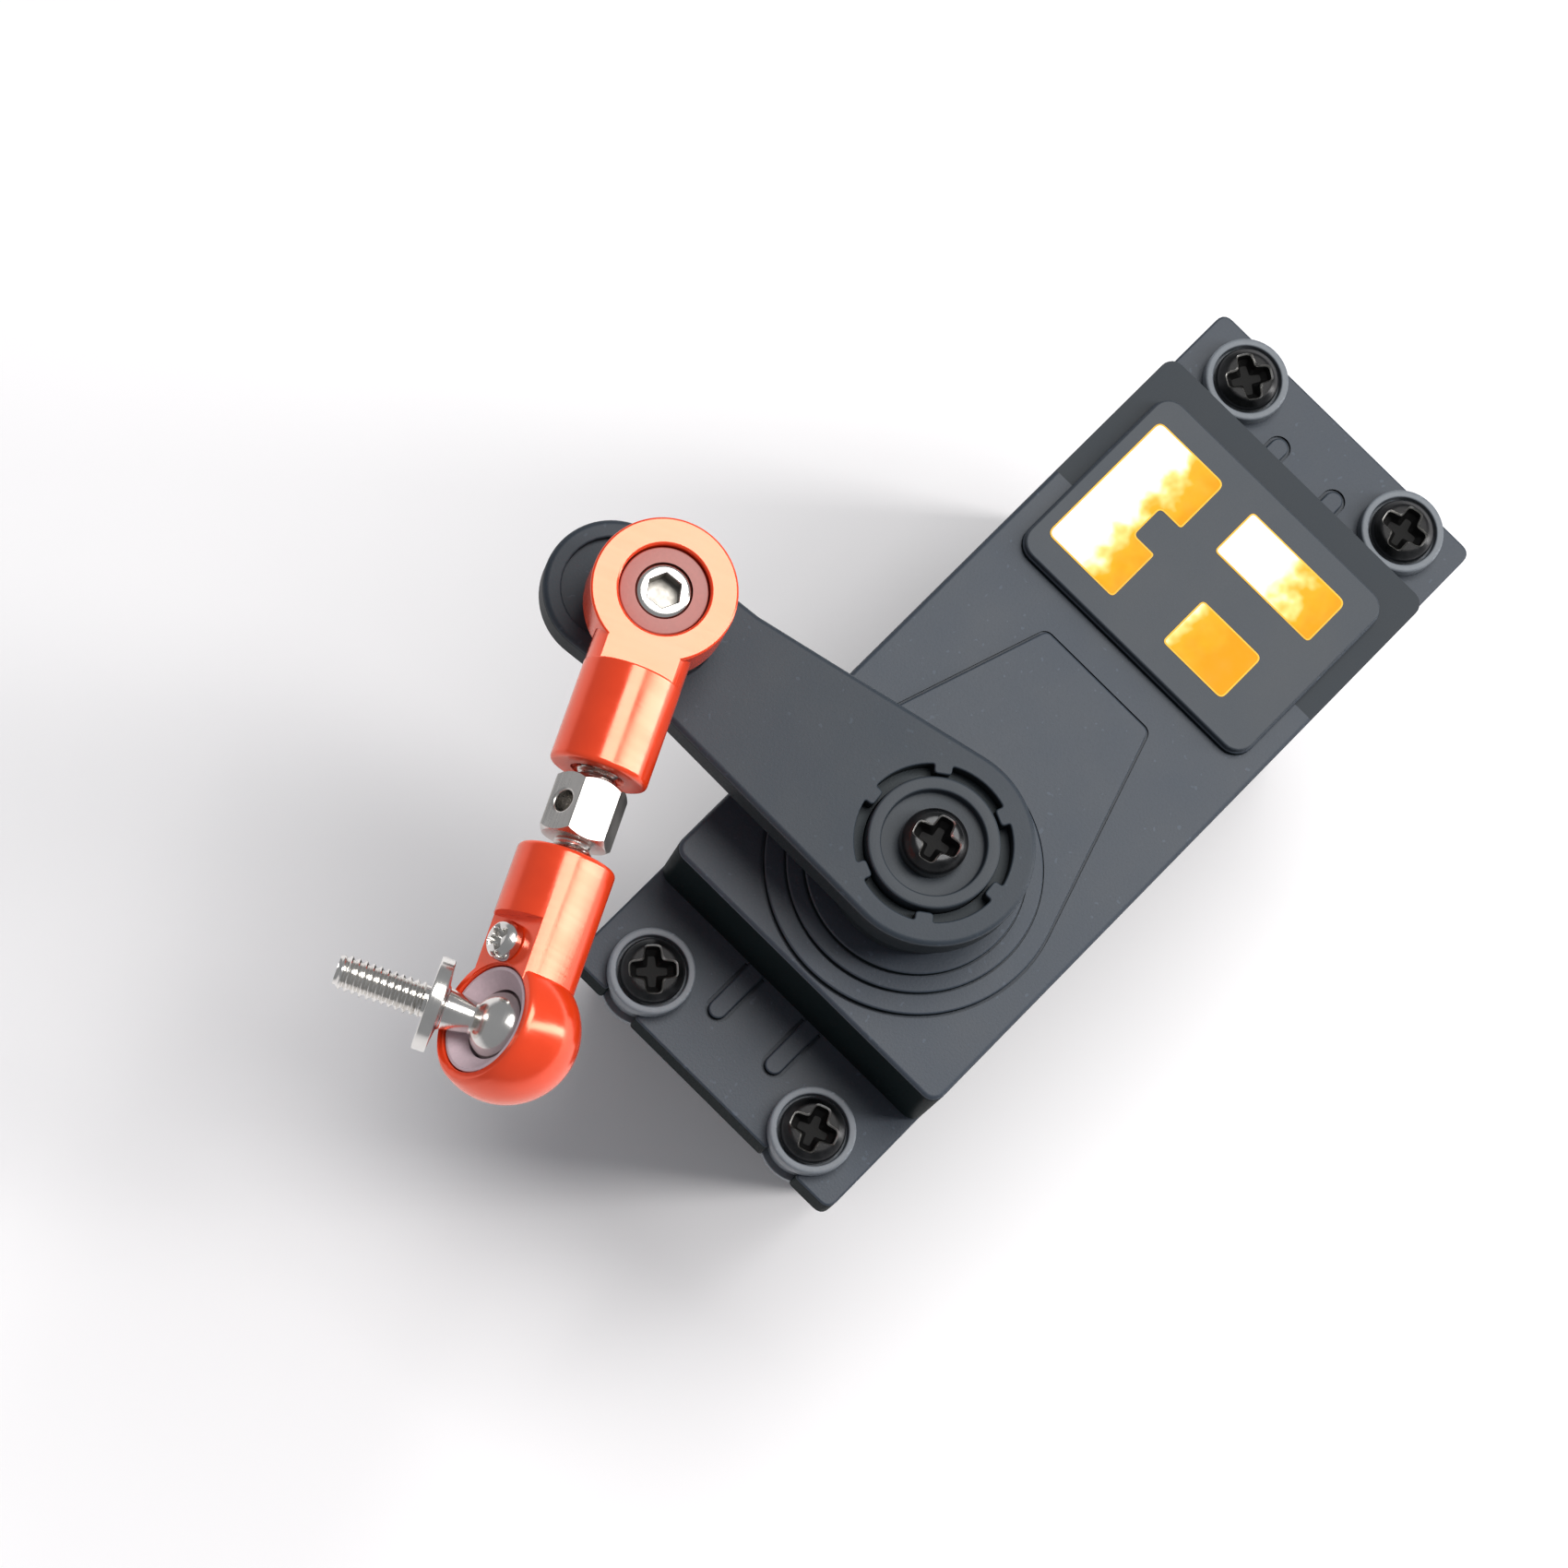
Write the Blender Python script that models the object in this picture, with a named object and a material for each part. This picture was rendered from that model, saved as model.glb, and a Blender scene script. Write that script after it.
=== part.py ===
"""A standard-size radio-control servo with its arm and the adjustable ball link on the arm.

Frame: the output shaft stands on the origin, +Z up along it, +X along the case towards
the motor end. The case rests on z = 0. Lengths below are millimetres; MM turns them
into metres where a vertex or a place is written.
"""

import math

import bmesh
import bpy
from mathutils import Vector

MM = 0.001

# Case: three shells, stacked
CASE_X = (-8.8, 32.0)
CASE_HALF_W = 10.0
CASE_TOP = 36.0
LOWER_TOP = 8.0
MIDDLE_Z = (8.3, 29.0)
UPPER_BOTTOM = 29.3
WALL = 1.5
CASE_CORNER = 0.8
TOP_BEVEL = 0.3
POST = 4.2  # side of the solid square left in each corner for the case screws
SCREW_INSET = 2.2
DECK_Z = (25.7, 26.9)
CHAMBER_TOP = CASE_TOP - WALL

# Ears
EAR_OUT = 6.75
EAR_Z = (26.5, 29.0)
EAR_PITCH_X = 49.5
EAR_HALF_PITCH_Y = 6.25
EAR_HOLE_R = 2.2
EAR_MOUTH = 2.2
EAR_RIB = (3.6, 1.1, 0.2)  # length out from the wall, width, height
EAR_RIB_Y = 2.2
EAR_LAND = (6.2, 3.2, 0.2)  # raised flat under each ear: length out, half width, height
GROMMET_FLANGE_R = 2.45
GROMMET_WAIST_R = EAR_HOLE_R - 0.12
GROMMET_BORE_R = 1.15
GROMMET_CUP_R = 2.02
GROMMET_Z = (25.85, EAR_Z[0] - 0.05, EAR_Z[1] + 0.05, 29.45, 30.1)
EAR_SCREW_SEAT = 29.5
EAR_SCREW_TURNS = (0.35, 0.8, 0.2, 1.0)
CASE_MID_X = sum(CASE_X) / 2
EAR_HOLES = [
    (CASE_MID_X + sx * EAR_PITCH_X / 2, sy * EAR_HALF_PITCH_Y)
    for sx in (-1, 1)
    for sy in (-1, 1)
]

# Raised shapes on the top face
BOSS_TIERS = ((8.3, 0.35), (7.15, 0.7), (6.2, 1.1))  # radius, height over the case top
PANEL_END_X = 15.0
PANEL_HALF_W = 3.95
PAD_X = (17.25, 30.0)
PAD_HALF_W = 8.7
PAD_CORNER = 1.2
PAD_H = 0.4
LABEL_Z = (CASE_TOP + PAD_H + 0.05, CASE_TOP + PAD_H + 0.4)
MARGIN_X = 22.2  # from here on the strip round the pad is a step lower
MARGIN_DROP = 0.18

# Opening for the lead, in the end wall of the lower case
INLET_HALF_W = 2.6
INLET_Z = (2.4, 5.2)

# Gear train: every wheel shares one module, and every mesh one centre distance
MODULE = 0.4
PINION_TEETH = 9
FIRST_TEETH = 33
SMALL_TEETH = 10
BIG_TEETH = 32
CENTRES = (SMALL_TEETH + BIG_TEETH) * MODULE / 2
IDLER_X = CENTRES
MOTOR_X = CENTRES + (PINION_TEETH + FIRST_TEETH) * MODULE / 2
ADDENDUM = 0.8
DEDENDUM = 1.05
TOOTH_SHARE = 0.40  # of the circular pitch, the rest is space and backlash
FIRST_Z = (27.3, 28.9, 30.85)  # bottom, top of the big wheel, top of the pinion
SECOND_Z = (29.15, 30.7, 32.7)
THIRD_Z = (31.0, 32.6, 34.3)
OUTPUT_Z = (32.85, 34.2)
AXLE_R = 0.75
AXLE_Z = (26.3, 35.1)
POT_SHAFT_R = 0.95
RUNNING = 0.07  # radial clearance of shafts in bores

# Output shaft, arm and its screw
JOURNAL_R = 3.0
JOURNAL_TOP = 37.6
SPLINE_TEETH = 25
SPLINE_R = (2.62, 2.95)
SPLINE_TOP = 40.9
BUSH_R = (JOURNAL_R + RUNNING, 4.0)
ARM_ANGLE = math.radians(96.3)
ARM_Z = (40.2, 42.5)
ARM_HUB_R = 5.65
ARM_END_R = 3.85
ARM_LENGTH = 22.0
ARM_WAIST_X = 15.0
ARM_BEVEL = 0.4
ARM_SKIRT_R = 5.2
ARM_BOTTOM = 37.5
ARM_RECESS = (18.6, 2.85, 0.5)  # start along the arm, half width, depth
POCKET_R = 4.35
POCKET_DEPTH = 1.1
POCKET_TOOTH = (3.82, 0.5)  # radius of the tips, half width
INSERT_R = 3.65
INSERT_Z = (37.9, 42.65)
INSERT_DISH = (2.9, 0.7)
STUD_AT = 19.5  # of the ball stud along the arm

# Ball link
BALL_R = 2.0
BALL_Z = 46.8
LINK_ANGLE = math.radians(205.3)
LINK_LENGTH = 24.8
LOWER_ROLL = math.radians(55.0)  # the lower end is rolled about the link's length
ROD_R = 2.7
HEAD_R = 3.95
HEAD_HALF_T = 1.8
HEAD_BORE_R = 2.45
HEAD_FLAT_END = 4.6
UPPER_TUBE_END = 10.3
LOWER_TUBE_START = 15.1
SOCKET_R = 2.12
NUT_CENTRE = 12.5
NUT_LENGTH = 3.3
NUT_ACROSS = 3.6
NUT_ROLL = math.radians(47.0)  # about the link's length
SHANK_R = 1.15
THREAD_R = 1.0
CUP_R = 3.9
CUP_FACE = 1.7
CUP_BORE_R = 3.0
LINER_LIP = 0.85  # height over the ball's centre where the lower liner's funnel begins
LINER_MOUTH_R = 2.75
CLAMP_X = -4.2  # of the clamp screw, from the lower ball along the tube
CLAMP_FLAT = 1.75
FLANGE_Z = (3.65, 4.4)  # of the lower stud's flange, from its ball
FLANGE_R = 2.55
NECK_R = 1.2  # where the lower stud's cone neck meets the flange
STUD_TIP = 9.35
STUD_TILT = math.radians(36.0)  # of the lower stud from the cup's axis, about the link's length
THREAD_ENDS = (6.2, 18.2)  # of the turnbuckle's shank, along the link

# Motor, potentiometer and board
CAN_R = (7.4, 8.0)
CAN_Z = (11.2, 25.4)
MOTOR_NOSE = (3.0, 26.5)
MOTOR_SHAFT_R = 0.75
MOTOR_SHAFT_Z = (9.3, 29.2)
PINION_Z = (27.3, 29.3)
POT_R = (5.2, 6.0)
POT_Z = (14.8, 23.6)
BOARD_Z = (6.3, 7.4)
ROTOR_Z = (13.4, 22.1)
POLES = 3

# Facets round large and small turned pieces
ROUND = 24
SMALL_ROUND = 14


# ---------------------------------------------------------------- building helpers


def material(name, colour, roughness, metallic=0.0):
    made = bpy.data.materials.new(name)
    made.use_nodes = True
    shader = made.node_tree.nodes["Principled BSDF"]
    shader.inputs["Base Color"].default_value = (*colour, 1.0)
    shader.inputs["Roughness"].default_value = roughness
    shader.inputs["Metallic"].default_value = metallic
    return made


def circle(radius, count=ROUND, centre=(0.0, 0.0), start=0.0, sweep=2 * math.pi):
    """Points on a circle, or on an arc of it, both ends included, when sweep is under a turn."""
    steps = count if sweep >= 2 * math.pi else count - 1
    return [
        (
            centre[0] + radius * math.cos(start + sweep * i / steps),
            centre[1] + radius * math.sin(start + sweep * i / steps),
        )
        for i in range(count)
    ]


def rounded_box(x, y, radius, steps=3):
    """A rectangle's outline with round corners, as (x, y) points."""
    corners = (
        (x[1] - radius, y[1] - radius, 0.0),
        (x[0] + radius, y[1] - radius, 0.5),
        (x[0] + radius, y[0] + radius, 1.0),
        (x[1] - radius, y[0] + radius, 1.5),
    )
    outline = []
    for cx, cy, turn in corners:
        outline += circle(radius, steps, (cx, cy), turn * math.pi, math.pi / 2)
    return outline


def notched_box(x, y, notch):
    """A rectangle's outline with a square taken out of each corner."""
    return [
        (x[0] + notch, y[0]),
        (x[1] - notch, y[0]),
        (x[1] - notch, y[0] + notch),
        (x[1], y[0] + notch),
        (x[1], y[1] - notch),
        (x[1] - notch, y[1] - notch),
        (x[1] - notch, y[1]),
        (x[0] + notch, y[1]),
        (x[0] + notch, y[1] - notch),
        (x[0], y[1] - notch),
        (x[0], y[0] + notch),
        (x[0] + notch, y[0] + notch),
    ]


def add_loft(bm, sections):
    """Closed solid through outlines of equal length, each given as (points, z)."""
    rings = [
        [bm.verts.new(Vector((x, y, z)) * MM) for x, y in points]
        for points, z in sections
    ]
    for low, high in zip(rings, rings[1:]):
        for i in range(len(low)):
            j = (i + 1) % len(low)
            bm.faces.new((low[i], low[j], high[j], high[i]))
    bm.faces.new(list(reversed(rings[0])))
    bm.faces.new(rings[-1])


def add_prism(bm, outline, z):
    add_loft(bm, [(outline, z[0]), (outline, z[1])])


def add_box(bm, x, y, z):
    add_prism(bm, [(x[0], y[0]), (x[1], y[0]), (x[1], y[1]), (x[0], y[1])], z)


def add_lathe(bm, profile, segments=ROUND, at=(0.0, 0.0, 0.0), along="Z"):
    """Turned solid: profile is (radius, height) points, and a ring where none has radius 0."""

    def place(radius, height, turn):
        a, b = radius * math.cos(turn), radius * math.sin(turn)
        local = (a, b, height) if along == "Z" else (height, a, b)
        return bm.verts.new((Vector(local) + Vector(at)) * MM)

    rings = []
    for radius, height in profile:
        count = segments if radius > 0 else 1
        rings.append(
            [place(radius, height, 2 * math.pi * i / segments) for i in range(count)]
        )
    closed = min(radius for radius, _ in profile) > 0
    pairs = list(zip(rings, rings[1:])) + ([(rings[-1], rings[0])] if closed else [])
    for low, high in pairs:
        for i in range(segments):
            j = (i + 1) % segments
            corners = [
                low[i % len(low)],
                low[j % len(low)],
                high[j % len(high)],
                high[i % len(high)],
            ]
            bm.faces.new(list(dict.fromkeys(corners)))


def ball_profile(radius, low, high, steps):
    """Points along a sphere's meridian between two heights."""
    first, last = math.asin(low / radius), math.asin(high / radius)
    turns = [first + (last - first) * i / steps for i in range(steps + 1)]
    return [(radius * math.cos(t), radius * math.sin(t)) for t in turns]


def shape(name, build, finish=None, parent=None, at=(0, 0, 0), turn=(0, 0, 0)):
    """One named object from a function that fills a bmesh."""
    bm = bmesh.new()
    build(bm)
    bmesh.ops.recalc_face_normals(bm, faces=bm.faces)
    mesh = bpy.data.meshes.new(name)
    bm.to_mesh(mesh)
    bm.free()
    mesh.shade_smooth()
    mesh.set_sharp_from_angle(angle=math.radians(35))
    made = bpy.data.objects.new(name, mesh)
    bpy.context.scene.collection.objects.link(made)
    made.location = Vector(at) * MM
    made.rotation_euler = turn
    made.parent = parent
    if finish:
        mesh.materials.append(finish)
    return made


def boolean(target, operation, build):
    """Cuts a shape from the target, or joins one to it; the shape stays as a hidden guide."""
    count = len(target.modifiers)
    guide = shape(f"{target.name}_{operation.lower()}_{count}", build, parent=target)
    guide.hide_render = True
    guide.display_type = "WIRE"
    modifier = target.modifiers.new(f"{operation.lower()}_{count}", "BOOLEAN")
    modifier.operation = operation
    modifier.object = guide
    modifier.solver = "EXACT"


def cut(target, build):
    boolean(target, "DIFFERENCE", build)


def join(target, build):
    boolean(target, "UNION", build)


def empty(name, at=(0, 0, 0), turn=(0, 0, 0), parent=None):
    made = bpy.data.objects.new(name, None)
    bpy.context.scene.collection.objects.link(made)
    made.location = Vector(at) * MM
    made.rotation_euler = turn
    made.parent = parent
    return made


def add_cross(bm, reach, half, z, centre=(0.0, 0.0)):
    """A plus-shaped prism: the recess of a cross-head screw."""
    corners = [(reach, -half), (reach, half), (half, half)]
    outline = []
    for quarter in range(4):
        turn = quarter * math.pi / 2
        for x, y in corners:
            across = x * math.cos(turn) - y * math.sin(turn)
            along = x * math.sin(turn) + y * math.cos(turn)
            outline.append((centre[0] + across, centre[1] + along))
    add_prism(bm, outline, z)


def pan_screw(head_r, head_h, shank_r, length):
    """Profile of a pan-head screw whose head sits on height 0."""
    return [
        (0.0, -length),
        (shank_r, -length + shank_r),
        (shank_r, 0.0),
        (head_r, 0.0),
        (head_r, head_h * 0.6),
        (head_r * 0.7, head_h),
        (0.0, head_h),
    ]


# ------------------------------------------------------------------------- the case


def case_outline(inset=0.0):
    x = (CASE_X[0] + inset, CASE_X[1] - inset)
    half = CASE_HALF_W - inset
    return rounded_box(x, (-half, half), CASE_CORNER - inset * 0.5)


def cavity_outline(clearance=0.0):
    side = WALL + clearance
    x = (CASE_X[0] + side, CASE_X[1] - side)
    half = CASE_HALF_W - side
    return notched_box(x, (-half, half), POST - WALL)


def case_screw_places():
    return [
        (x, sy * (CASE_HALF_W - SCREW_INSET))
        for x in (CASE_X[0] + SCREW_INSET, CASE_X[1] - SCREW_INSET)
        for sy in (-1, 1)
    ]


def add_holes(bm, places, radius, z, count=12):
    for place in places:
        add_prism(bm, circle(radius, count, place), z)


def panel_outline():
    """The teardrop panel: a circle and its tangents to a straight edge."""
    radius = BOSS_TIERS[0][0]
    lean = math.atan2(PANEL_HALF_W, PANEL_END_X)
    reach = math.hypot(PANEL_END_X, PANEL_HALF_W)
    touch = lean + math.acos(radius / reach)
    arc = circle(radius, ROUND + 9, start=touch, sweep=2 * math.pi - 2 * touch)
    return [(PANEL_END_X, -PANEL_HALF_W), (PANEL_END_X, PANEL_HALF_W)] + arc


def margin_outline():
    """The strip round the motor end of the pad, as one U-shaped outline."""
    gap, outside = 0.02, 2.0
    inner = rounded_box(
        (PAD_X[0] - gap, PAD_X[1] + gap), (-PAD_HALF_W - gap, PAD_HALF_W + gap), PAD_CORNER
    )
    around = [point for point in inner if point[0] > MARGIN_X]
    upper = [point for point in around if point[1] > 0]
    lower = [point for point in around if point[1] < 0]
    inner_y, outer_y = PAD_HALF_W + gap, CASE_HALF_W + outside
    outer_x = CASE_X[1] + outside
    inside = [(MARGIN_X, inner_y)] + upper[::-1] + lower[::-1] + [(MARGIN_X, -inner_y)]
    return inside + [
        (MARGIN_X, -outer_y),
        (outer_x, -outer_y),
        (outer_x, outer_y),
        (MARGIN_X, outer_y),
    ]


def upper_case(finish):
    sections = [
        (case_outline(), UPPER_BOTTOM),
        (case_outline(), CASE_TOP - TOP_BEVEL),
        (case_outline(TOP_BEVEL), CASE_TOP),
    ]
    case = shape("upper_case", lambda bm: add_loft(bm, sections), finish)
    (_, first), (second_r, second), (third_r, third) = BOSS_TIERS
    sunk = CASE_TOP - 0.5
    pad = rounded_box(PAD_X, (-PAD_HALF_W, PAD_HALF_W), PAD_CORNER)
    join(case, lambda bm: add_prism(bm, panel_outline(), (sunk, CASE_TOP + first)))
    join(case, lambda bm: add_prism(bm, circle(second_r, 32), (sunk, CASE_TOP + second)))
    join(case, lambda bm: add_prism(bm, circle(third_r, 32), (sunk, CASE_TOP + third)))
    join(case, lambda bm: add_prism(bm, pad, (sunk, CASE_TOP + PAD_H)))
    cut(case, lambda bm: add_prism(bm, cavity_outline(), (UPPER_BOTTOM - 1, CHAMBER_TOP)))

    def bores(bm):
        add_prism(bm, circle(BUSH_R[1] + 0.05, ROUND), (CHAMBER_TOP - 1, CASE_TOP + 3))
        add_holes(bm, [(IDLER_X, 0.0)], AXLE_R + RUNNING, (CHAMBER_TOP - 1, CHAMBER_TOP + 0.8))
        add_holes(bm, case_screw_places(), 1.05, (UPPER_BOTTOM - 1, 33.6))

    cut(case, bores)
    cut(case, lambda bm: add_prism(bm, margin_outline(), (CASE_TOP - MARGIN_DROP, CASE_TOP + 2)))
    return case


def ear_slots(bm):
    """Round seats for the grommets, each with a narrower mouth to the ear's outer edge."""
    half = EAR_MOUTH / 2
    for x, y in EAR_HOLES:
        side = math.copysign(1.0, x - CASE_MID_X)
        opening = math.asin(half / EAR_HOLE_R)
        start = opening if side > 0 else math.pi + opening
        arc = circle(EAR_HOLE_R, 15, (x, y), start, 2 * math.pi - 2 * opening)
        mouth = [(x + side * 4.0, y - side * half), (x + side * 4.0, y + side * half)]
        add_prism(bm, arc + mouth, (EAR_Z[0] - 1, EAR_Z[1] + 1))


def ear_ribs(bm):
    """Two low round-ended ribs on each ear, running out from the case wall."""
    length, width, height = EAR_RIB
    for wall, side in ((CASE_X[0], -1.0), (CASE_X[1], 1.0)):
        start = -side * math.pi / 2
        half = side * width / 2
        root = wall - side * 0.6
        for y in (-EAR_RIB_Y, EAR_RIB_Y):
            tip = (wall + side * (length - width / 2), y)
            outline = circle(width / 2, 5, tip, start, math.pi)
            outline += [(root, y + half), (root, y - half)]
            add_prism(bm, outline, (EAR_Z[1] - 0.5, EAR_Z[1] + height))


def ear_lands(bm):
    """The flats between the slots that meet a tray's rim."""
    length, half, height = EAR_LAND
    for wall, side in ((CASE_X[0], -1.0), (CASE_X[1], 1.0)):
        ends = sorted((wall - side * 0.6, wall + side * length))
        add_box(bm, ends, (-half, half), (EAR_Z[0] - height, EAR_Z[0] + 0.5))


def middle_case(finish):
    case = shape("middle_case", lambda bm: add_prism(bm, case_outline(), MIDDLE_Z), finish)
    for x in (
        (CASE_X[0] - EAR_OUT, CASE_X[0] + 1.2),
        (CASE_X[1] - 1.2, CASE_X[1] + EAR_OUT),
    ):
        half = CASE_HALF_W
        plate = rounded_box(x, (-half + 0.01, half - 0.01), 0.6, 3)
        join(case, lambda bm: add_prism(bm, plate, (EAR_Z[0], EAR_Z[1] - 0.01)))
    join(case, ear_ribs)
    join(case, ear_lands)

    def cavities(bm):
        add_prism(bm, cavity_outline(), (MIDDLE_Z[0] - 1, DECK_Z[0]))
        add_prism(bm, cavity_outline(), (DECK_Z[1], MIDDLE_Z[1] + 1))

    def bores(bm):
        add_prism(bm, circle(3.1, 16), (DECK_Z[0] - 1, DECK_Z[1] + 1))
        add_prism(bm, circle(3.3, 16, (MOTOR_X, 0.0)), (DECK_Z[0] - 1, DECK_Z[1] + 1))
        add_holes(bm, [(IDLER_X, 0.0)], AXLE_R + RUNNING, (AXLE_Z[0] - 0.1, DECK_Z[1] + 1))
        add_holes(bm, case_screw_places(), 1.15, (MIDDLE_Z[0] - 1, MIDDLE_Z[1] + 1))

    cut(case, cavities)
    cut(case, ear_slots)
    cut(case, bores)
    return case


def lower_case(finish):
    sections = [
        (case_outline(0.4), 0.0),
        (case_outline(), 0.4),
        (case_outline(), LOWER_TOP),
    ]
    case = shape("lower_case", lambda bm: add_loft(bm, sections), finish)

    def inside(bm):
        add_prism(bm, cavity_outline(), (WALL, LOWER_TOP + 1))

    def inlet(bm):
        add_box(bm, (CASE_X[0] - 1, CASE_X[0] + 3), (-INLET_HALF_W, INLET_HALF_W), INLET_Z)
        add_holes(bm, case_screw_places(), 1.15, (0.8, LOWER_TOP + 1))

    cut(case, inside)
    cut(case, inlet)
    cut(case, lambda bm: add_holes(bm, case_screw_places(), 1.75, (-1.0, 1.6)))
    return case


def cable_inlet(finish):
    """Rubber bush in the lower case's end wall, with a flat slot for a three-wire lead."""
    y, low, high = INLET_HALF_W - 0.1, INLET_Z[0] + 0.1, INLET_Z[1] - 0.1
    inlet = shape(
        "cable_inlet",
        lambda bm: add_box(bm, (CASE_X[0] - 0.6, CASE_X[0] + 2.6), (-y, y), (low, high)),
        finish,
    )
    x = (CASE_X[0] + WALL + 0.1, CASE_X[0] + 2.6)
    join(inlet, lambda bm: add_box(bm, x, (-3.4, 3.4), (low - 0.6, high + 0.5)))
    slot = rounded_box((-1.9, 1.9), (-0.65, 0.65), 0.6)
    middle = (low + high) / 2

    def lead_slot(bm):
        rings = []
        for x in (CASE_X[0] - 2, CASE_X[0] + 4):
            rings.append([bm.verts.new(Vector((x, a, middle + b)) * MM) for a, b in slot])
        for i in range(len(slot)):
            j = (i + 1) % len(slot)
            bm.faces.new((rings[0][i], rings[0][j], rings[1][j], rings[1][i]))
        bm.faces.new(rings[0])
        bm.faces.new(rings[1])

    cut(inlet, lead_slot)
    return inlet


def case_screws(finish):
    """Four long screws that go up through the corner posts into the upper case."""
    profile = [(radius, -height) for radius, height in pan_screw(1.6, 1.15, 0.95, 31.4)]
    for number, (x, y) in enumerate(case_screw_places(), 1):
        name = f"case_screw_{number}"
        screw = shape(name, lambda bm: add_lathe(bm, profile, 12), finish, at=(x, y, 1.5))
        cut(screw, lambda bm: add_cross(bm, 0.95, 0.28, (-2.0, -0.55)))


def label(finish):
    x = (PAD_X[0] + 0.1, PAD_X[1] - 0.1)
    half = PAD_HALF_W - 0.1
    outline = rounded_box(x, (-half, half), PAD_CORNER - 0.1)
    return shape("label", lambda bm: add_prism(bm, outline, LABEL_Z), finish)


# ------------------------------------------------------------------ ears' fixings


def ear_grommets(finish):
    """Rubber bushes in the ears' slots, each dished on top for its screw's head."""
    foot, under, over, floor, rim = GROMMET_Z
    profile = [
        (GROMMET_BORE_R, foot),
        (GROMMET_FLANGE_R, foot),
        (GROMMET_FLANGE_R, under),
        (GROMMET_WAIST_R, under),
        (GROMMET_WAIST_R, over),
        (GROMMET_FLANGE_R, over),
        (GROMMET_FLANGE_R, rim - 0.15),
        (GROMMET_FLANGE_R - 0.15, rim),
        (GROMMET_CUP_R, rim),
        (GROMMET_CUP_R, floor),
        (GROMMET_BORE_R, floor),
    ]
    for number, (x, y) in enumerate(EAR_HOLES, 1):
        name = f"ear_grommet_{number}"
        shape(name, lambda bm: add_lathe(bm, profile, 16), finish, at=(x, y, 0.0))


def ear_screws(finish):
    profile = pan_screw(1.85, 1.15, 0.98, 10.0)
    for number, ((x, y), turn) in enumerate(zip(EAR_HOLES, EAR_SCREW_TURNS), 1):
        screw = shape(
            f"ear_screw_{number}",
            lambda bm: add_lathe(bm, profile, SMALL_ROUND),
            finish,
            at=(x, y, EAR_SCREW_SEAT),
            turn=(0, 0, turn),
        )
        cut(screw, lambda bm: add_cross(bm, 1.1, 0.3, (0.35, 2.0)))


# ----------------------------------------------------------------------- gear train


def gear_outline(teeth, phase=0.0, flank_point=False):
    """A spur wheel's outline: radial below the pitch circle, sloped flanks above it."""
    pitch_r = teeth * MODULE / 2
    tip_r = pitch_r + ADDENDUM * MODULE
    root_r = pitch_r - DEDENDUM * MODULE
    thick = TOOTH_SHARE * math.pi * MODULE
    tip_thick = thick - 2 * ADDENDUM * MODULE * math.tan(math.radians(20))
    wide, narrow = thick / 2 / pitch_r, tip_thick / 2 / tip_r
    outline = []
    for k in range(teeth):
        middle = phase + 2 * math.pi * k / teeth
        flank = [(root_r, -wide), (tip_r, -narrow), (tip_r, narrow), (root_r, wide)]
        if flank_point:
            flank[1:1] = [(pitch_r, -wide)]
            flank[4:4] = [(pitch_r, wide)]
        outline += [(r * math.cos(middle + a), r * math.sin(middle + a)) for r, a in flank]
    return outline


def bore(radius, z):
    return lambda bm: add_prism(bm, circle(radius, SMALL_ROUND), (z[0] - 1, z[1] + 1))


def compound_gear(name, teeth, phase, z, bore_r, finish, parent):
    """A big wheel with a pinion standing on it, on one bore."""
    bottom, shoulder, top = z
    gear = shape(
        name, lambda bm: add_prism(bm, gear_outline(teeth, phase), (bottom, shoulder)), finish, parent
    )
    pinion = gear_outline(SMALL_TEETH, 0.0, True)
    join(gear, lambda bm: add_prism(bm, pinion, (shoulder - 0.4, top)))
    cut(gear, bore(bore_r, (bottom, top)))
    return gear


def spline_outline(inner, outer):
    outline = []
    pitch = 2 * math.pi / SPLINE_TEETH
    for k in range(SPLINE_TEETH):
        for share, radius in ((-0.5, inner), (0.0, outer)):
            turn = (k + share) * pitch
            outline.append((radius * math.cos(turn), radius * math.sin(turn)))
    return outline


def output_gear(finish, parent):
    """The last wheel, with the journal and the splined stub that carries the arm."""
    half_tooth = math.pi / BIG_TEETH
    wheel = gear_outline(BIG_TEETH, half_tooth)
    gear = shape("output_gear", lambda bm: add_prism(bm, wheel, OUTPUT_Z), finish, parent)
    join(gear, lambda bm: add_prism(bm, circle(JOURNAL_R, ROUND), (OUTPUT_Z[1] - 0.5, JOURNAL_TOP)))
    teeth = spline_outline(*SPLINE_R)
    join(gear, lambda bm: add_prism(bm, teeth, (JOURNAL_TOP - 0.5, SPLINE_TOP)))

    def sockets(bm):
        add_prism(bm, circle(POT_SHAFT_R + 0.05, 16), (OUTPUT_Z[0] - 1, OUTPUT_Z[0] + 0.9))
        add_prism(bm, circle(1.1, 16), (34.8, SPLINE_TOP + 1))

    cut(gear, sockets)
    return gear


def output_bush(finish):
    inner, outer = BUSH_R
    top = CASE_TOP + BOSS_TIERS[2][1] - 0.1
    profile = [
        (inner, CHAMBER_TOP - 0.2),
        (outer, CHAMBER_TOP - 0.2),
        (outer, top),
        (inner, top),
    ]
    return shape("output_bush", lambda bm: add_lathe(bm, profile, ROUND), finish)


def gear_axle(finish):
    profile = [(0.0, AXLE_Z[0]), (AXLE_R, AXLE_Z[0]), (AXLE_R, AXLE_Z[1]), (0.0, AXLE_Z[1])]
    return shape(
        "gear_axle", lambda bm: add_lathe(bm, profile, SMALL_ROUND, (IDLER_X, 0.0, 0.0)), finish
    )


# -------------------------------------------------------------------------- the arm


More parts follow.
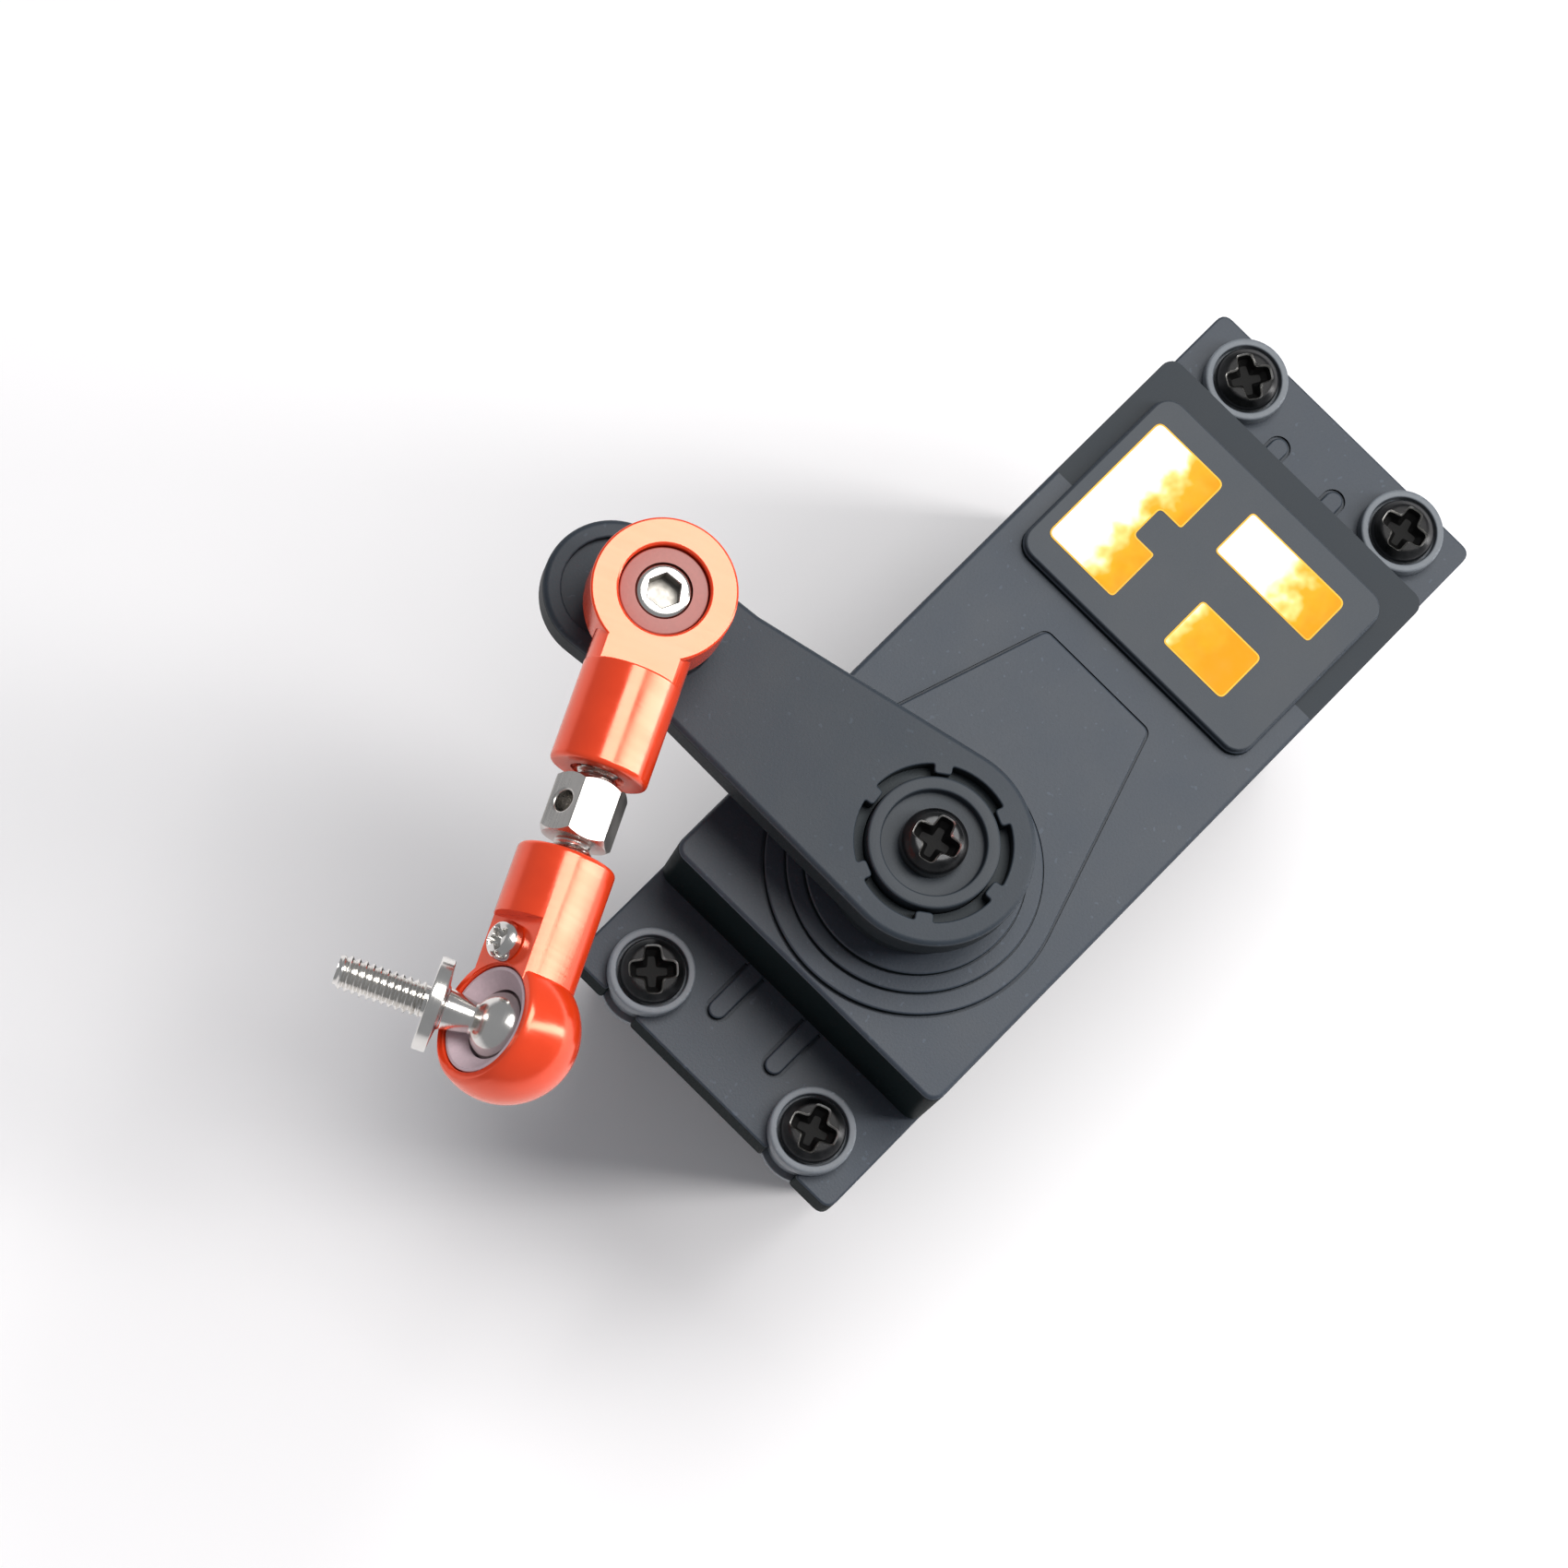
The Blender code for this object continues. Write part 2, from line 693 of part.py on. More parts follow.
def arm_outline(inset=0.0, hub_steps=21, end_steps=11):
    """Hub circle, tangents to the waist, parallel sides, and a round end, along +X."""
    hub, end = ARM_HUB_R - inset, ARM_END_R - inset
    reach = math.hypot(ARM_WAIST_X, ARM_END_R)
    lean = math.atan2(ARM_END_R, ARM_WAIST_X)
    touch = lean + math.acos(ARM_HUB_R / reach)
    around = circle(hub, hub_steps, start=touch, sweep=2 * math.pi - 2 * touch)
    tip = circle(end, end_steps, (ARM_LENGTH, 0.0), -math.pi / 2, math.pi)
    return around + [(ARM_WAIST_X, -end)] + tip + [(ARM_WAIST_X, end)]


def stadium(start, stop, half, steps=8):
    return circle(half, steps, (start, 0.0), math.pi / 2, math.pi) + circle(
        half, steps, (stop, 0.0), -math.pi / 2, math.pi
    )


def pocket_outline():
    """The round pocket in the hub, with six round-nosed teeth pointing inwards."""
    tip_r, half = POCKET_TOOTH
    outline = []
    edge = math.asin(half / POCKET_R)
    for k in range(6):
        middle = k * math.pi / 3
        flat = half * 0.45
        nose = [(tip_r + 0.25, -half), (tip_r, -flat), (tip_r, flat), (tip_r + 0.25, half)]
        outline += [
            (
                x * math.cos(middle) - y * math.sin(middle),
                x * math.sin(middle) + y * math.cos(middle),
            )
            for x, y in nose
        ]
        outline += circle(POCKET_R, 5, start=middle + edge, sweep=math.pi / 3 - 2 * edge)
    return outline


def servo_arm(finish, parent):
    low, high = ARM_Z
    sections = [
        (arm_outline(), low),
        (arm_outline(), high - ARM_BEVEL),
        (arm_outline(ARM_BEVEL), high),
    ]
    arm = shape("servo_arm", lambda bm: add_loft(bm, sections), finish, parent)
    skirt = circle(ARM_SKIRT_R, 28)
    join(arm, lambda bm: add_prism(bm, skirt, (ARM_BOTTOM, low + 0.6)))
    start, half, depth = ARM_RECESS
    recess = stadium(start, ARM_LENGTH, half)
    cut(arm, lambda bm: add_prism(bm, recess, (high - depth, high + 1)))
    cut(arm, lambda bm: add_prism(bm, pocket_outline(), (high - POCKET_DEPTH, high + 1)))

    def bores(bm):
        add_prism(bm, circle(INSERT_R + 0.06, ROUND), (ARM_BOTTOM - 1, high + 1))
        add_prism(bm, circle(THREAD_R + 0.1, 16, (STUD_AT, 0.0)), (low - 1, high + 1))

    cut(arm, bores)
    return arm


def hub_insert(finish, parent):
    """Splined metal-filled insert moulded into the arm, dished on top for the screw."""
    low, high = INSERT_Z
    dish_r, dish = INSERT_DISH
    bevel = 0.12
    profile = [
        (0.0, low),
        (INSERT_R, low),
        (INSERT_R, high - bevel),
        (INSERT_R - bevel, high),
        (0.0, high),
    ]
    insert = shape("hub_insert", lambda bm: add_lathe(bm, profile, ROUND), finish, parent)
    teeth = spline_outline(SPLINE_R[0] + 0.12, SPLINE_R[1] + 0.12)

    def hollow(bm):
        add_prism(bm, teeth, (low - 1, SPLINE_TOP + 0.15))
        add_prism(bm, circle(dish_r, ROUND), (high - dish, high + 1))

    cut(insert, hollow)
    cut(insert, lambda bm: add_prism(bm, circle(1.15, 16), (SPLINE_TOP - 1, high + 1)))
    return insert


def arm_screw(finish, parent):
    seat = INSERT_Z[1] - INSERT_DISH[1] + 0.03
    screw = shape(
        "arm_screw",
        lambda bm: add_lathe(bm, pan_screw(1.85, 1.6, 0.98, 6.0), SMALL_ROUND, (0, 0, seat)),
        finish,
        parent,
    )
    cut(screw, lambda bm: add_cross(bm, 1.15, 0.32, (seat + 0.6, seat + 3)))
    return screw


# ---------------------------------------------------------------------- motor


def motor_can(finish):
    inner, outer = CAN_R
    nose_r, nose_top = MOTOR_NOSE
    low, high = CAN_Z
    profile = [
        (outer, low),
        (outer, high),
        (nose_r, high),
        (nose_r, nose_top),
        (1.75, nose_top),
        (1.75, high - 0.6),
        (inner, high - 0.6),
        (inner, low),
    ]
    at = (MOTOR_X, 0.0, 0.0)
    return shape("motor_can", lambda bm: add_lathe(bm, profile, ROUND, at), finish)


def motor_end_cap(finish):
    """Moulded cap that closes the can below, with the lower bush's seat in it."""
    outer = CAN_R[1]
    low, high = 8.6, CAN_Z[0] - 0.1
    floor = 10.0
    profile = [
        (1.75, low),
        (outer, low),
        (outer, high),
        (6.2, high),
        (6.2, floor),
        (1.75, floor),
    ]
    at = (MOTOR_X, 0.0, 0.0)
    cap = shape("motor_end_cap", lambda bm: add_lathe(bm, profile, ROUND), finish, at=at)

    def tab_slots(bm):
        for x in ((-5.1, -4.5), (4.5, 5.1)):
            add_box(bm, x, (-1.25, 1.25), (low - 1, 11))

    cut(cap, tab_slots)
    return cap


def motor_bushes(finish):
    places = {
        "motor_lower_bush": (8.7, 9.9),
        "motor_upper_bush": (CAN_Z[1] - 0.5, MOTOR_NOSE[1] - 0.1),
    }
    inner, outer = MOTOR_SHAFT_R + RUNNING, 1.7
    for name, (low, high) in places.items():
        profile = [(inner, low), (outer, low), (outer, high), (inner, high)]
        shape(name, lambda bm: add_lathe(bm, profile, SMALL_ROUND), finish, at=(MOTOR_X, 0, 0))


def arc_block(inner, outer, middle, sweep, count=9):
    """Outline of a piece of a ring."""
    far = circle(outer, count, start=middle - sweep / 2, sweep=sweep)
    near = circle(inner, count, start=middle - sweep / 2, sweep=sweep)
    return far + near[::-1]


def motor_magnets(finish):
    for name, middle in (("motor_magnet_1", 0.0), ("motor_magnet_2", math.pi)):
        arc = arc_block(6.0, CAN_R[0] - 0.12, middle, math.radians(130))
        shape(name, lambda bm: add_prism(bm, arc, (13.0, 22.5)), finish, at=(MOTOR_X, 0, 0))


def motor_brushes(finish):
    """Two brush leaves beside the commutator, each with its tab down to the board."""
    for name, side in (("motor_brush_1", -1), ("motor_brush_2", 1)):
        leaf = sorted((side * 2.0, side * 2.5))
        foot = sorted((side * 2.0, side * 5.0))
        tab = sorted((side * 4.6, side * 5.0))
        brush = shape(
            name, lambda bm: add_box(bm, leaf, (-1.6, 1.6), (10.2, 11.6)), finish, at=(MOTOR_X, 0, 0)
        )
        join(brush, lambda bm: add_box(bm, foot, (-1.0, 1.0), (10.15, 10.6)))
        join(brush, lambda bm: add_box(bm, tab, (-1.1, 1.1), (BOARD_Z[1] + 0.1, 10.7)))


def motor_shaft(finish, parent):
    low, high = MOTOR_SHAFT_Z
    radius = MOTOR_SHAFT_R
    profile = [(0.0, low), (radius, low), (radius, high - 0.2), (radius - 0.2, high), (0.0, high)]
    return shape("motor_shaft", lambda bm: add_lathe(bm, profile, SMALL_ROUND), finish, parent)


def motor_pinion(finish, parent):
    outline = gear_outline(PINION_TEETH, 0.0, True)
    pinion = shape("motor_pinion", lambda bm: add_prism(bm, outline, PINION_Z), finish, parent)
    cut(pinion, bore(MOTOR_SHAFT_R + 0.05, PINION_Z))
    return pinion


def rotor_core(finish, parent):
    """Three-pole laminated stack: a hub, three necks and three curved shoes."""
    outline = []
    for k in range(POLES):
        middle = 2 * math.pi * k / POLES

        def turned(x, y, middle=middle):
            return (
                x * math.cos(middle) - y * math.sin(middle),
                x * math.sin(middle) + y * math.cos(middle),
            )

        half_shoe = math.radians(52)
        shoe = circle(5.6, 9, start=middle - half_shoe, sweep=2 * half_shoe)
        inner_low = (4.7 * math.cos(middle - half_shoe), 4.7 * math.sin(middle - half_shoe))
        inner_high = (4.7 * math.cos(middle + half_shoe), 4.7 * math.sin(middle + half_shoe))
        outline += [turned(1.5, -0.8), turned(4.4, -0.8), inner_low]
        outline += shoe
        outline += [inner_high, turned(4.4, 0.8), turned(1.5, 0.8)]
    core = shape("rotor_core", lambda bm: add_prism(bm, outline, ROTOR_Z), finish, parent)
    cut(core, bore(MOTOR_SHAFT_R + 0.05, ROTOR_Z))
    return core


def add_coil(bm, middle):
    """A rectangular loop round one pole's neck."""
    low, high = ROTOR_Z
    along = Vector((math.cos(middle), math.sin(middle), 0.0))
    across = Vector((-math.sin(middle), math.cos(middle), 0.0))
    loops = []
    for reach in (2.0, 3.9):
        for width, grow in ((0.95, 0.15), (1.7, 0.85)):
            foot, head = low - grow, high + grow
            sides = ((-width, foot), (width, foot), (width, head), (-width, head))
            points = [along * reach + across * a + Vector((0.0, 0.0, b)) for a, b in sides]
            loops.append([bm.verts.new(point * MM) for point in points])
    inner_near, outer_near, inner_far, outer_far = loops
    walls = (
        (inner_near, outer_near),
        (outer_near, outer_far),
        (outer_far, inner_far),
        (inner_far, inner_near),
    )
    for first, second in walls:
        for i in range(4):
            j = (i + 1) % 4
            bm.faces.new((first[i], first[j], second[j], second[i]))


def rotor_windings(finish, parent):
    """One coil round each pole's neck, tied together by the crossings below the stack."""
    coils = shape("rotor_windings", lambda bm: add_coil(bm, 0.0), finish, parent)
    for pole in range(1, POLES):
        join(coils, lambda bm: add_coil(bm, 2 * math.pi * pole / POLES))
    low = ROTOR_Z[0]
    crossings = [(1.1, low - 0.75), (2.5, low - 0.75), (2.5, low - 0.3), (1.1, low - 0.3)]
    join(coils, lambda bm: add_lathe(bm, crossings, 18))
    return coils


def commutator(finish, parent):
    inner, outer = MOTOR_SHAFT_R + 0.05, 1.9
    profile = [(inner, 10.3), (outer, 10.3), (outer, 12.0), (inner, 12.0)]
    return shape("commutator", lambda bm: add_lathe(bm, profile, 18), finish, parent)


# ------------------------------------------------- potentiometer and circuit board


def pot_body(finish):
    inner, outer = POT_R
    low, high = POT_Z
    bore_r = POT_SHAFT_R + 0.1
    profile = [
        (outer, low),
        (outer, high),
        (2.8, high),
        (2.8, DECK_Z[1] - 0.2),
        (bore_r, DECK_Z[1] - 0.2),
        (bore_r, high - 1.0),
        (inner, high - 1.0),
        (inner, low),
    ]
    return shape("pot_body", lambda bm: add_lathe(bm, profile, ROUND), finish)


def pot_track(finish):
    """Disc that closes the potentiometer and carries its resistive ring."""
    low, high = POT_Z[0] - 1.3, POT_Z[0] - 0.1
    profile = [(0.0, low), (POT_R[1], low), (POT_R[1], high), (0.0, high)]
    return shape("pot_track", lambda bm: add_lathe(bm, profile, ROUND), finish)


def pot_shaft(finish, parent):
    low, high = POT_Z[0] + 1.2, OUTPUT_Z[0] + 0.8
    profile = [(0.0, low), (POT_SHAFT_R, low), (POT_SHAFT_R, high), (0.0, high)]
    return shape("pot_shaft", lambda bm: add_lathe(bm, profile, SMALL_ROUND), finish, parent)


def pot_wiper(finish, parent):
    """Arm on the shaft's foot with the contact that runs on the track."""
    low = POT_Z[0] + 0.3
    ring = circle(1.6, 12, start=math.radians(40), sweep=math.radians(280))
    outline = ring + [(4.6, -0.9), (4.6, 0.9)]
    return shape("pot_wiper", lambda bm: add_prism(bm, outline, (low, low + 0.6)), finish, parent)


def pot_header(finish):
    """Block on the board whose three pins stand up to the potentiometer."""
    low = BOARD_Z[1] + 0.1
    header = shape(
        "pot_header", lambda bm: add_box(bm, (-0.9, 0.9), (-3.6, 3.6), (low, low + 2.4)), finish
    )

    def pins(bm):
        for y in (-2.5, 0.0, 2.5):
            add_box(bm, (-0.35, 0.35), (y - 0.35, y + 0.35), (low + 1.5, POT_Z[0] - 1.4))

    join(header, pins)
    return header


def circuit_board(finish):
    return shape(
        "circuit_board", lambda bm: add_prism(bm, cavity_outline(0.3), BOARD_Z), finish
    )


def board_chips(finish):
    """The control chip and the motor driver on the board's underside."""
    top = BOARD_Z[0] - 0.1
    chips = {"control_chip": (8.0, 5.2, 4.4, 1.5), "driver_chip": (19.0, 4.0, 4.0, 1.3)}
    for name, (x, length, width, height) in chips.items():
        shape(
            name,
            lambda bm: add_box(
                bm, (-length / 2, length / 2), (-width / 2, width / 2), (top - height, top)
            ),
            finish,
            at=(x, 0.0, 0.0),
        )


def board_capacitor(finish):
    low = BOARD_Z[1] + 0.1
    profile = [(0.0, low), (2.3, low), (2.3, low + 6.2), (2.0, low + 6.5), (0.0, low + 6.5)]
    at = (27.5, 0.0, 0.0)
    return shape("board_capacitor", lambda bm: add_lathe(bm, profile, SMALL_ROUND, at), finish)


# ------------------------------------------------------------------- the ball link


def clipped_round(radius, half_height, steps=9):
    """A circle with its top and bottom cut flat, as (y, z) points."""
    edge = math.asin(half_height / radius)
    right = circle(radius, steps, start=-edge, sweep=2 * edge)
    return right + [(-y, -z) for y, z in right]


def add_bar(bm, outline, x):
    """Prism along X from a (y, z) outline."""
    rings = [[bm.verts.new(Vector((at, y, z)) * MM) for y, z in outline] for at in x]
    for i in range(len(outline)):
        j = (i + 1) % len(outline)
        bm.faces.new((rings[0][i], rings[0][j], rings[1][j], rings[1][i]))
    bm.faces.new(rings[0])
    bm.faces.new(rings[1])


def tube_profile(start, end, radius):
    """Turned bar with a small bevel at its far end."""
    bevel = math.copysign(0.25, end - start)
    return [(0.0, start), (radius, start), (radius, end - bevel), (radius - 0.25, end), (0.0, end)]


def upper_rod_end(finish, parent):
    thick = (-HEAD_HALF_T, HEAD_HALF_T)
    outline = circle(HEAD_R, 32)
    inner = circle(HEAD_R - 0.2, 32)
    sections = [
        (inner, thick[0]),
        (outline, thick[0] + 0.2),
        (outline, thick[1] - 0.2),
        (inner, thick[1]),
    ]
    end = shape("upper_rod_end", lambda bm: add_loft(bm, sections), finish, parent)
    neck = clipped_round(ROD_R, HEAD_HALF_T - 0.01)
    join(end, lambda bm: add_bar(bm, neck, (1.5, HEAD_FLAT_END + 0.5)))
    tube = tube_profile(HEAD_FLAT_END, UPPER_TUBE_END, ROD_R)
    join(end, lambda bm: add_lathe(bm, tube, ROUND, along="X"))

    def bores(bm):
        add_prism(bm, circle(HEAD_BORE_R, ROUND), (-4, 4))
        add_bar(bm, circle(SHANK_R + 0.1, 16), (5.6, UPPER_TUBE_END + 2))

    cut(end, bores)
    return end


def upper_liner(finish, parent):
    """Ring in the head's bore with a spherical seat for the ball."""
    outer, half = HEAD_BORE_R - 0.06, 1.45
    profile = ball_profile(SOCKET_R, -half, half, 5) + [(outer, half), (outer, -half)]
    return shape("upper_liner", lambda bm: add_lathe(bm, profile, ROUND), finish, parent)


def arm_ball_stud(finish, parent):
    """Ball with a driver socket, neck, flange and threaded shank through the arm."""
    top = 1.48
    seat = ARM_Z[1] - ARM_RECESS[2] + 0.05 - BALL_Z
    foot = ARM_Z[0] - 2.0 - BALL_Z
    ball = ball_profile(BALL_R, -1.7, top, 6)
    profile = [(0.0, foot), (THREAD_R, foot), (THREAD_R, seat), (2.3, seat), (2.3, seat + 0.9)]
    profile += [(1.05, seat + 1.1)] + ball + [(0.0, top)]
    stud = shape("arm_ball_stud", lambda bm: add_lathe(bm, profile, 18), finish, parent)
    cut(stud, lambda bm: add_prism(bm, circle(0.98, 6), (top - 1.1, top + 1)))
    return stud


def arm_stud_nut(finish, parent):
    top = ARM_Z[0] - 0.05 - BALL_Z
    nut = shape(
        "arm_stud_nut",
        lambda bm: add_prism(bm, circle(2.3, 6), (top - 1.6, top)),
        finish,
        parent,
    )
    cut(nut, bore(THREAD_R + 0.06, (top - 1.6, top)))
    return nut


def turnbuckle(finish, parent):
    """Hex body with a cross hole, necks, and a threaded shank into each rod end."""
    near, far = NUT_CENTRE - NUT_LENGTH / 2, NUT_CENTRE + NUT_LENGTH / 2
    corner = NUT_ACROSS / math.sqrt(3)
    body = shape(
        "turnbuckle", lambda bm: add_bar(bm, circle(corner, 6), (near, far)), finish, parent
    )
    low, high = THREAD_ENDS
    shank = [(0.0, low), (SHANK_R, low), (SHANK_R, high), (0.0, high)]
    join(body, lambda bm: add_lathe(bm, shank, 16, along="X"))
    hole = circle(0.6, 16, (NUT_CENTRE, 0.0))
    cut(body, lambda bm: add_prism(bm, hole, (-4, 4)))
    return body


def lower_rod_end(finish, parent):
    """Tube ending in a round cup, open along the stud's axis (+Z here), ball centre at 0."""
    cup = [(0.0, -CUP_R)] + ball_profile(CUP_R, -CUP_R * 0.96, CUP_FACE - 0.1, 7)
    cup += [(math.sqrt(CUP_R**2 - CUP_FACE**2) - 0.15, CUP_FACE), (0.0, CUP_FACE)]
    end = shape("lower_rod_end", lambda bm: add_lathe(bm, cup, ROUND), finish, parent)
    start = LOWER_TUBE_START - LINK_LENGTH
    tube = tube_profile(-1.2, start, ROD_R)
    join(end, lambda bm: add_lathe(bm, tube, ROUND, along="X"))

    def clear(bm):
        add_prism(bm, circle(CUP_BORE_R, ROUND), (-2.3, 4))
        add_bar(bm, circle(SHANK_R + 0.1, 16), (start - 2, CLAMP_X - 0.9))

    def seat(bm):
        add_box(bm, (CLAMP_X - 1.5, -2.0), (-4, 4), (CLAMP_FLAT, 4))

    cut(end, seat)
    cut(end, clear)
    cut(end, lambda bm: add_prism(bm, circle(0.66, 12, (CLAMP_X, 0.0)), (-1.3, 4)))
    return end


def clamp_screw(finish, parent):
    screw = shape(
        "clamp_screw",
        lambda bm: add_lathe(
            bm, pan_screw(1.1, 0.85, 0.58, 2.8), 16, (CLAMP_X, 0.0, CLAMP_FLAT + 0.03)
        ),
        finish,
        parent,
    )
    top = CLAMP_FLAT + 0.88
    recess = (top - 0.45, top + 1)
    cut(screw, lambda bm: add_cross(bm, 0.6, 0.18, recess, (CLAMP_X, 0.0)))
    return screw


def lower_liner(finish, parent):
    """Seat for the ball, with a funnel above the lip that holds the ball in."""
    foot, face = -1.85, CUP_FACE - 0.12
    profile = ball_profile(SOCKET_R, foot, LINER_LIP, 5)
    profile += [(LINER_MOUTH_R, face), (CUP_BORE_R - 0.06, face), (CUP_BORE_R - 0.06, foot)]
    return shape("lower_liner", lambda bm: add_lathe(bm, profile, ROUND), finish, parent)


def lower_ball_stud(finish, parent):
    """Ball, cone neck, flange and threaded shank, along +Z from the ball's centre."""
    near, far = FLANGE_Z
    point = 0.3
    profile = [(0.0, -1.85)] + ball_profile(BALL_R, -1.85, 1.83, 6)
    profile += [
        (NECK_R, near - 0.05),
        (FLANGE_R, near),
        (FLANGE_R, far),
        (THREAD_R, far),
        (THREAD_R, STUD_TIP - point),
        (THREAD_R - point, STUD_TIP),
        (0.0, STUD_TIP),
    ]
    return shape("lower_ball_stud", lambda bm: add_lathe(bm, profile, 18), finish, parent)


# ------------------------------------------------------------------------- assembly


def build_static():
    plastic = material("black_plastic", (0.030, 0.033, 0.038), 0.6)
    printed = material("label_print", (0.06, 0.06, 0.07), 0.5)
    rubber = material("black_rubber", (0.05, 0.052, 0.056), 0.7)
    black_steel = material("black_steel", (0.015, 0.015, 0.017), 0.3, 1.0)
    steel = material("bright_steel", (0.62, 0.61, 0.6), 0.25, 1.0)
    brass = material("brass", (0.72, 0.5, 0.2), 0.35, 1.0)
    bronze = material("bronze", (0.5, 0.32, 0.16), 0.45, 1.0)
    magnet = material("ferrite", (0.06, 0.06, 0.062), 0.6)
    nylon = material("white_nylon", (0.75, 0.74, 0.7), 0.5)
    board = material("board_green", (0.02, 0.16, 0.06), 0.5)
    chip = material("chip_black", (0.02, 0.02, 0.02), 0.4)
    upper_case(plastic)
    middle_case(plastic)
    lower_case(plastic)
    label(printed)
    cable_inlet(rubber)
    case_screws(black_steel)
    ear_grommets(rubber)
    ear_screws(black_steel)
    output_bush(bronze)
    gear_axle(steel)
    motor_can(steel)
    motor_end_cap(nylon)
    motor_bushes(bronze)
    motor_magnets(magnet)
    motor_brushes(brass)
    pot_body(steel)
    pot_track(chip)
    pot_header(brass)
    circuit_board(board)
    board_chips(chip)
    board_capacitor(chip)


def build_train():
    steel = material("shaft_steel", (0.6, 0.6, 0.61), 0.3, 1.0)
    brass = material("pinion_brass", (0.72, 0.5, 0.2), 0.35, 1.0)
    nylon = material("gear_nylon", (0.78, 0.77, 0.72), 0.5)
    copper = material("copper_wire", (0.6, 0.25, 0.1), 0.4, 1.0)
    iron = material("core_iron", (0.3, 0.3, 0.31), 0.5, 1.0)
    motor = empty("motor_axis", (MOTOR_X, 0.0, 0.0))
    motor_shaft(steel, motor)
    motor_pinion(brass, motor)
    rotor_core(iron, motor)
    rotor_windings(copper, motor)
    commutator(brass, motor)
    half_tooth = math.pi / BIG_TEETH
    idler = empty("idler_axis", (IDLER_X, 0.0, 0.0))
    idler_bore = AXLE_R + RUNNING
    compound_gear("first_gear", FIRST_TEETH, 0.0, FIRST_Z, idler_bore, nylon, idler)
    compound_gear("third_gear", BIG_TEETH, half_tooth, THIRD_Z, idler_bore, nylon, idler)
    second_axis = empty("second_gear_axis")
    compound_gear(
        "second_gear", BIG_TEETH, half_tooth, SECOND_Z, POT_SHAFT_R + RUNNING, nylon, second_axis
    )


def build_output():
    steel = material("stud_steel", (0.65, 0.64, 0.62), 0.2, 1.0)
    black_steel = material("arm_screw_steel", (0.015, 0.015, 0.017), 0.3, 1.0)
    nylon = material("output_nylon", (0.78, 0.77, 0.72), 0.5)
    plastic = material("arm_plastic", (0.045, 0.05, 0.056), 0.55)
    insert = material("insert_plastic", (0.06, 0.065, 0.075), 0.45)
    brass = material("wiper_brass", (0.72, 0.5, 0.2), 0.35, 1.0)
    output = empty("output_axis")
    output_gear(nylon, output)
    pot_shaft(steel, output)
    pot_wiper(brass, output)
    hub_insert(insert, output)
    arm_screw(black_steel, output)
    arm_frame = empty("arm_frame", turn=(0, 0, ARM_ANGLE), parent=output)
    servo_arm(plastic, arm_frame)
    stud_frame = empty("arm_stud_frame", (STUD_AT, 0.0, BALL_Z), parent=arm_frame)
    arm_ball_stud(steel, stud_frame)
    arm_stud_nut(steel, stud_frame)


def build_link():
    red = material("red_anodised", (0.75, 0.05, 0.02), 0.3, 1.0)
    liner = material("liner_plastic", (0.5, 0.44, 0.45), 0.5)
    dark_liner = material("dark_liner", (0.08, 0.05, 0.05), 0.5)
    steel = material("link_steel", (0.65, 0.64, 0.62), 0.2, 1.0)
    ball = (STUD_AT * math.cos(ARM_ANGLE), STUD_AT * math.sin(ARM_ANGLE), BALL_Z)
    swing = empty("link_swing_axis", ball, (0, 0, LINK_ANGLE))
    upper_rod_end(red, swing)
    upper_liner(dark_liner, swing)
    turn_frame = empty("turnbuckle_axis", turn=(NUT_ROLL, 0, 0), parent=swing)
    turnbuckle(steel, turn_frame)
    lower = empty("lower_end_frame", (LINK_LENGTH, 0.0, 0.0), (LOWER_ROLL, 0, 0), swing)
    lower_rod_end(red, lower)
    lower_liner(liner, lower)
    clamp_screw(steel, lower)
    stud = empty("lower_stud_axis", turn=(STUD_TILT, 0, 0), parent=lower)
    lower_ball_stud(steel, stud)


def main():
    for old in list(bpy.data.objects):
        bpy.data.objects.remove(old)
    build_static()
    build_train()
    build_output()
    build_link()


main()
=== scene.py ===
"""Looks of a standard-size radio-control servo with its arm and ball link.

Mesh code works in millimetres in each piece's own frame; piece() turns them into metres.
"""

import math

import bmesh
import bpy
from mathutils import Matrix, Vector


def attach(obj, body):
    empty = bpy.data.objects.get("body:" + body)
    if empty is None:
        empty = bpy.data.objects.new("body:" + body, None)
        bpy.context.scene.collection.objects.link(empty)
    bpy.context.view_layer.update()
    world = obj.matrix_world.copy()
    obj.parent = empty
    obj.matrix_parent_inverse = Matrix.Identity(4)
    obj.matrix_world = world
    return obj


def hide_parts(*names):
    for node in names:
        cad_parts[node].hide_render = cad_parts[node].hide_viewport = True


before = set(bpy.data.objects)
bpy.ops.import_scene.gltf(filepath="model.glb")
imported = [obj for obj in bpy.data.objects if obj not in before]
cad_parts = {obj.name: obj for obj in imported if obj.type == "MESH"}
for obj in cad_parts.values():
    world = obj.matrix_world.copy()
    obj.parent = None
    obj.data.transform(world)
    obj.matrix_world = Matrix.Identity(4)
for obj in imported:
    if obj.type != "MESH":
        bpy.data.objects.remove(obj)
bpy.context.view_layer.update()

MM = 0.001
TAU = 2 * math.pi

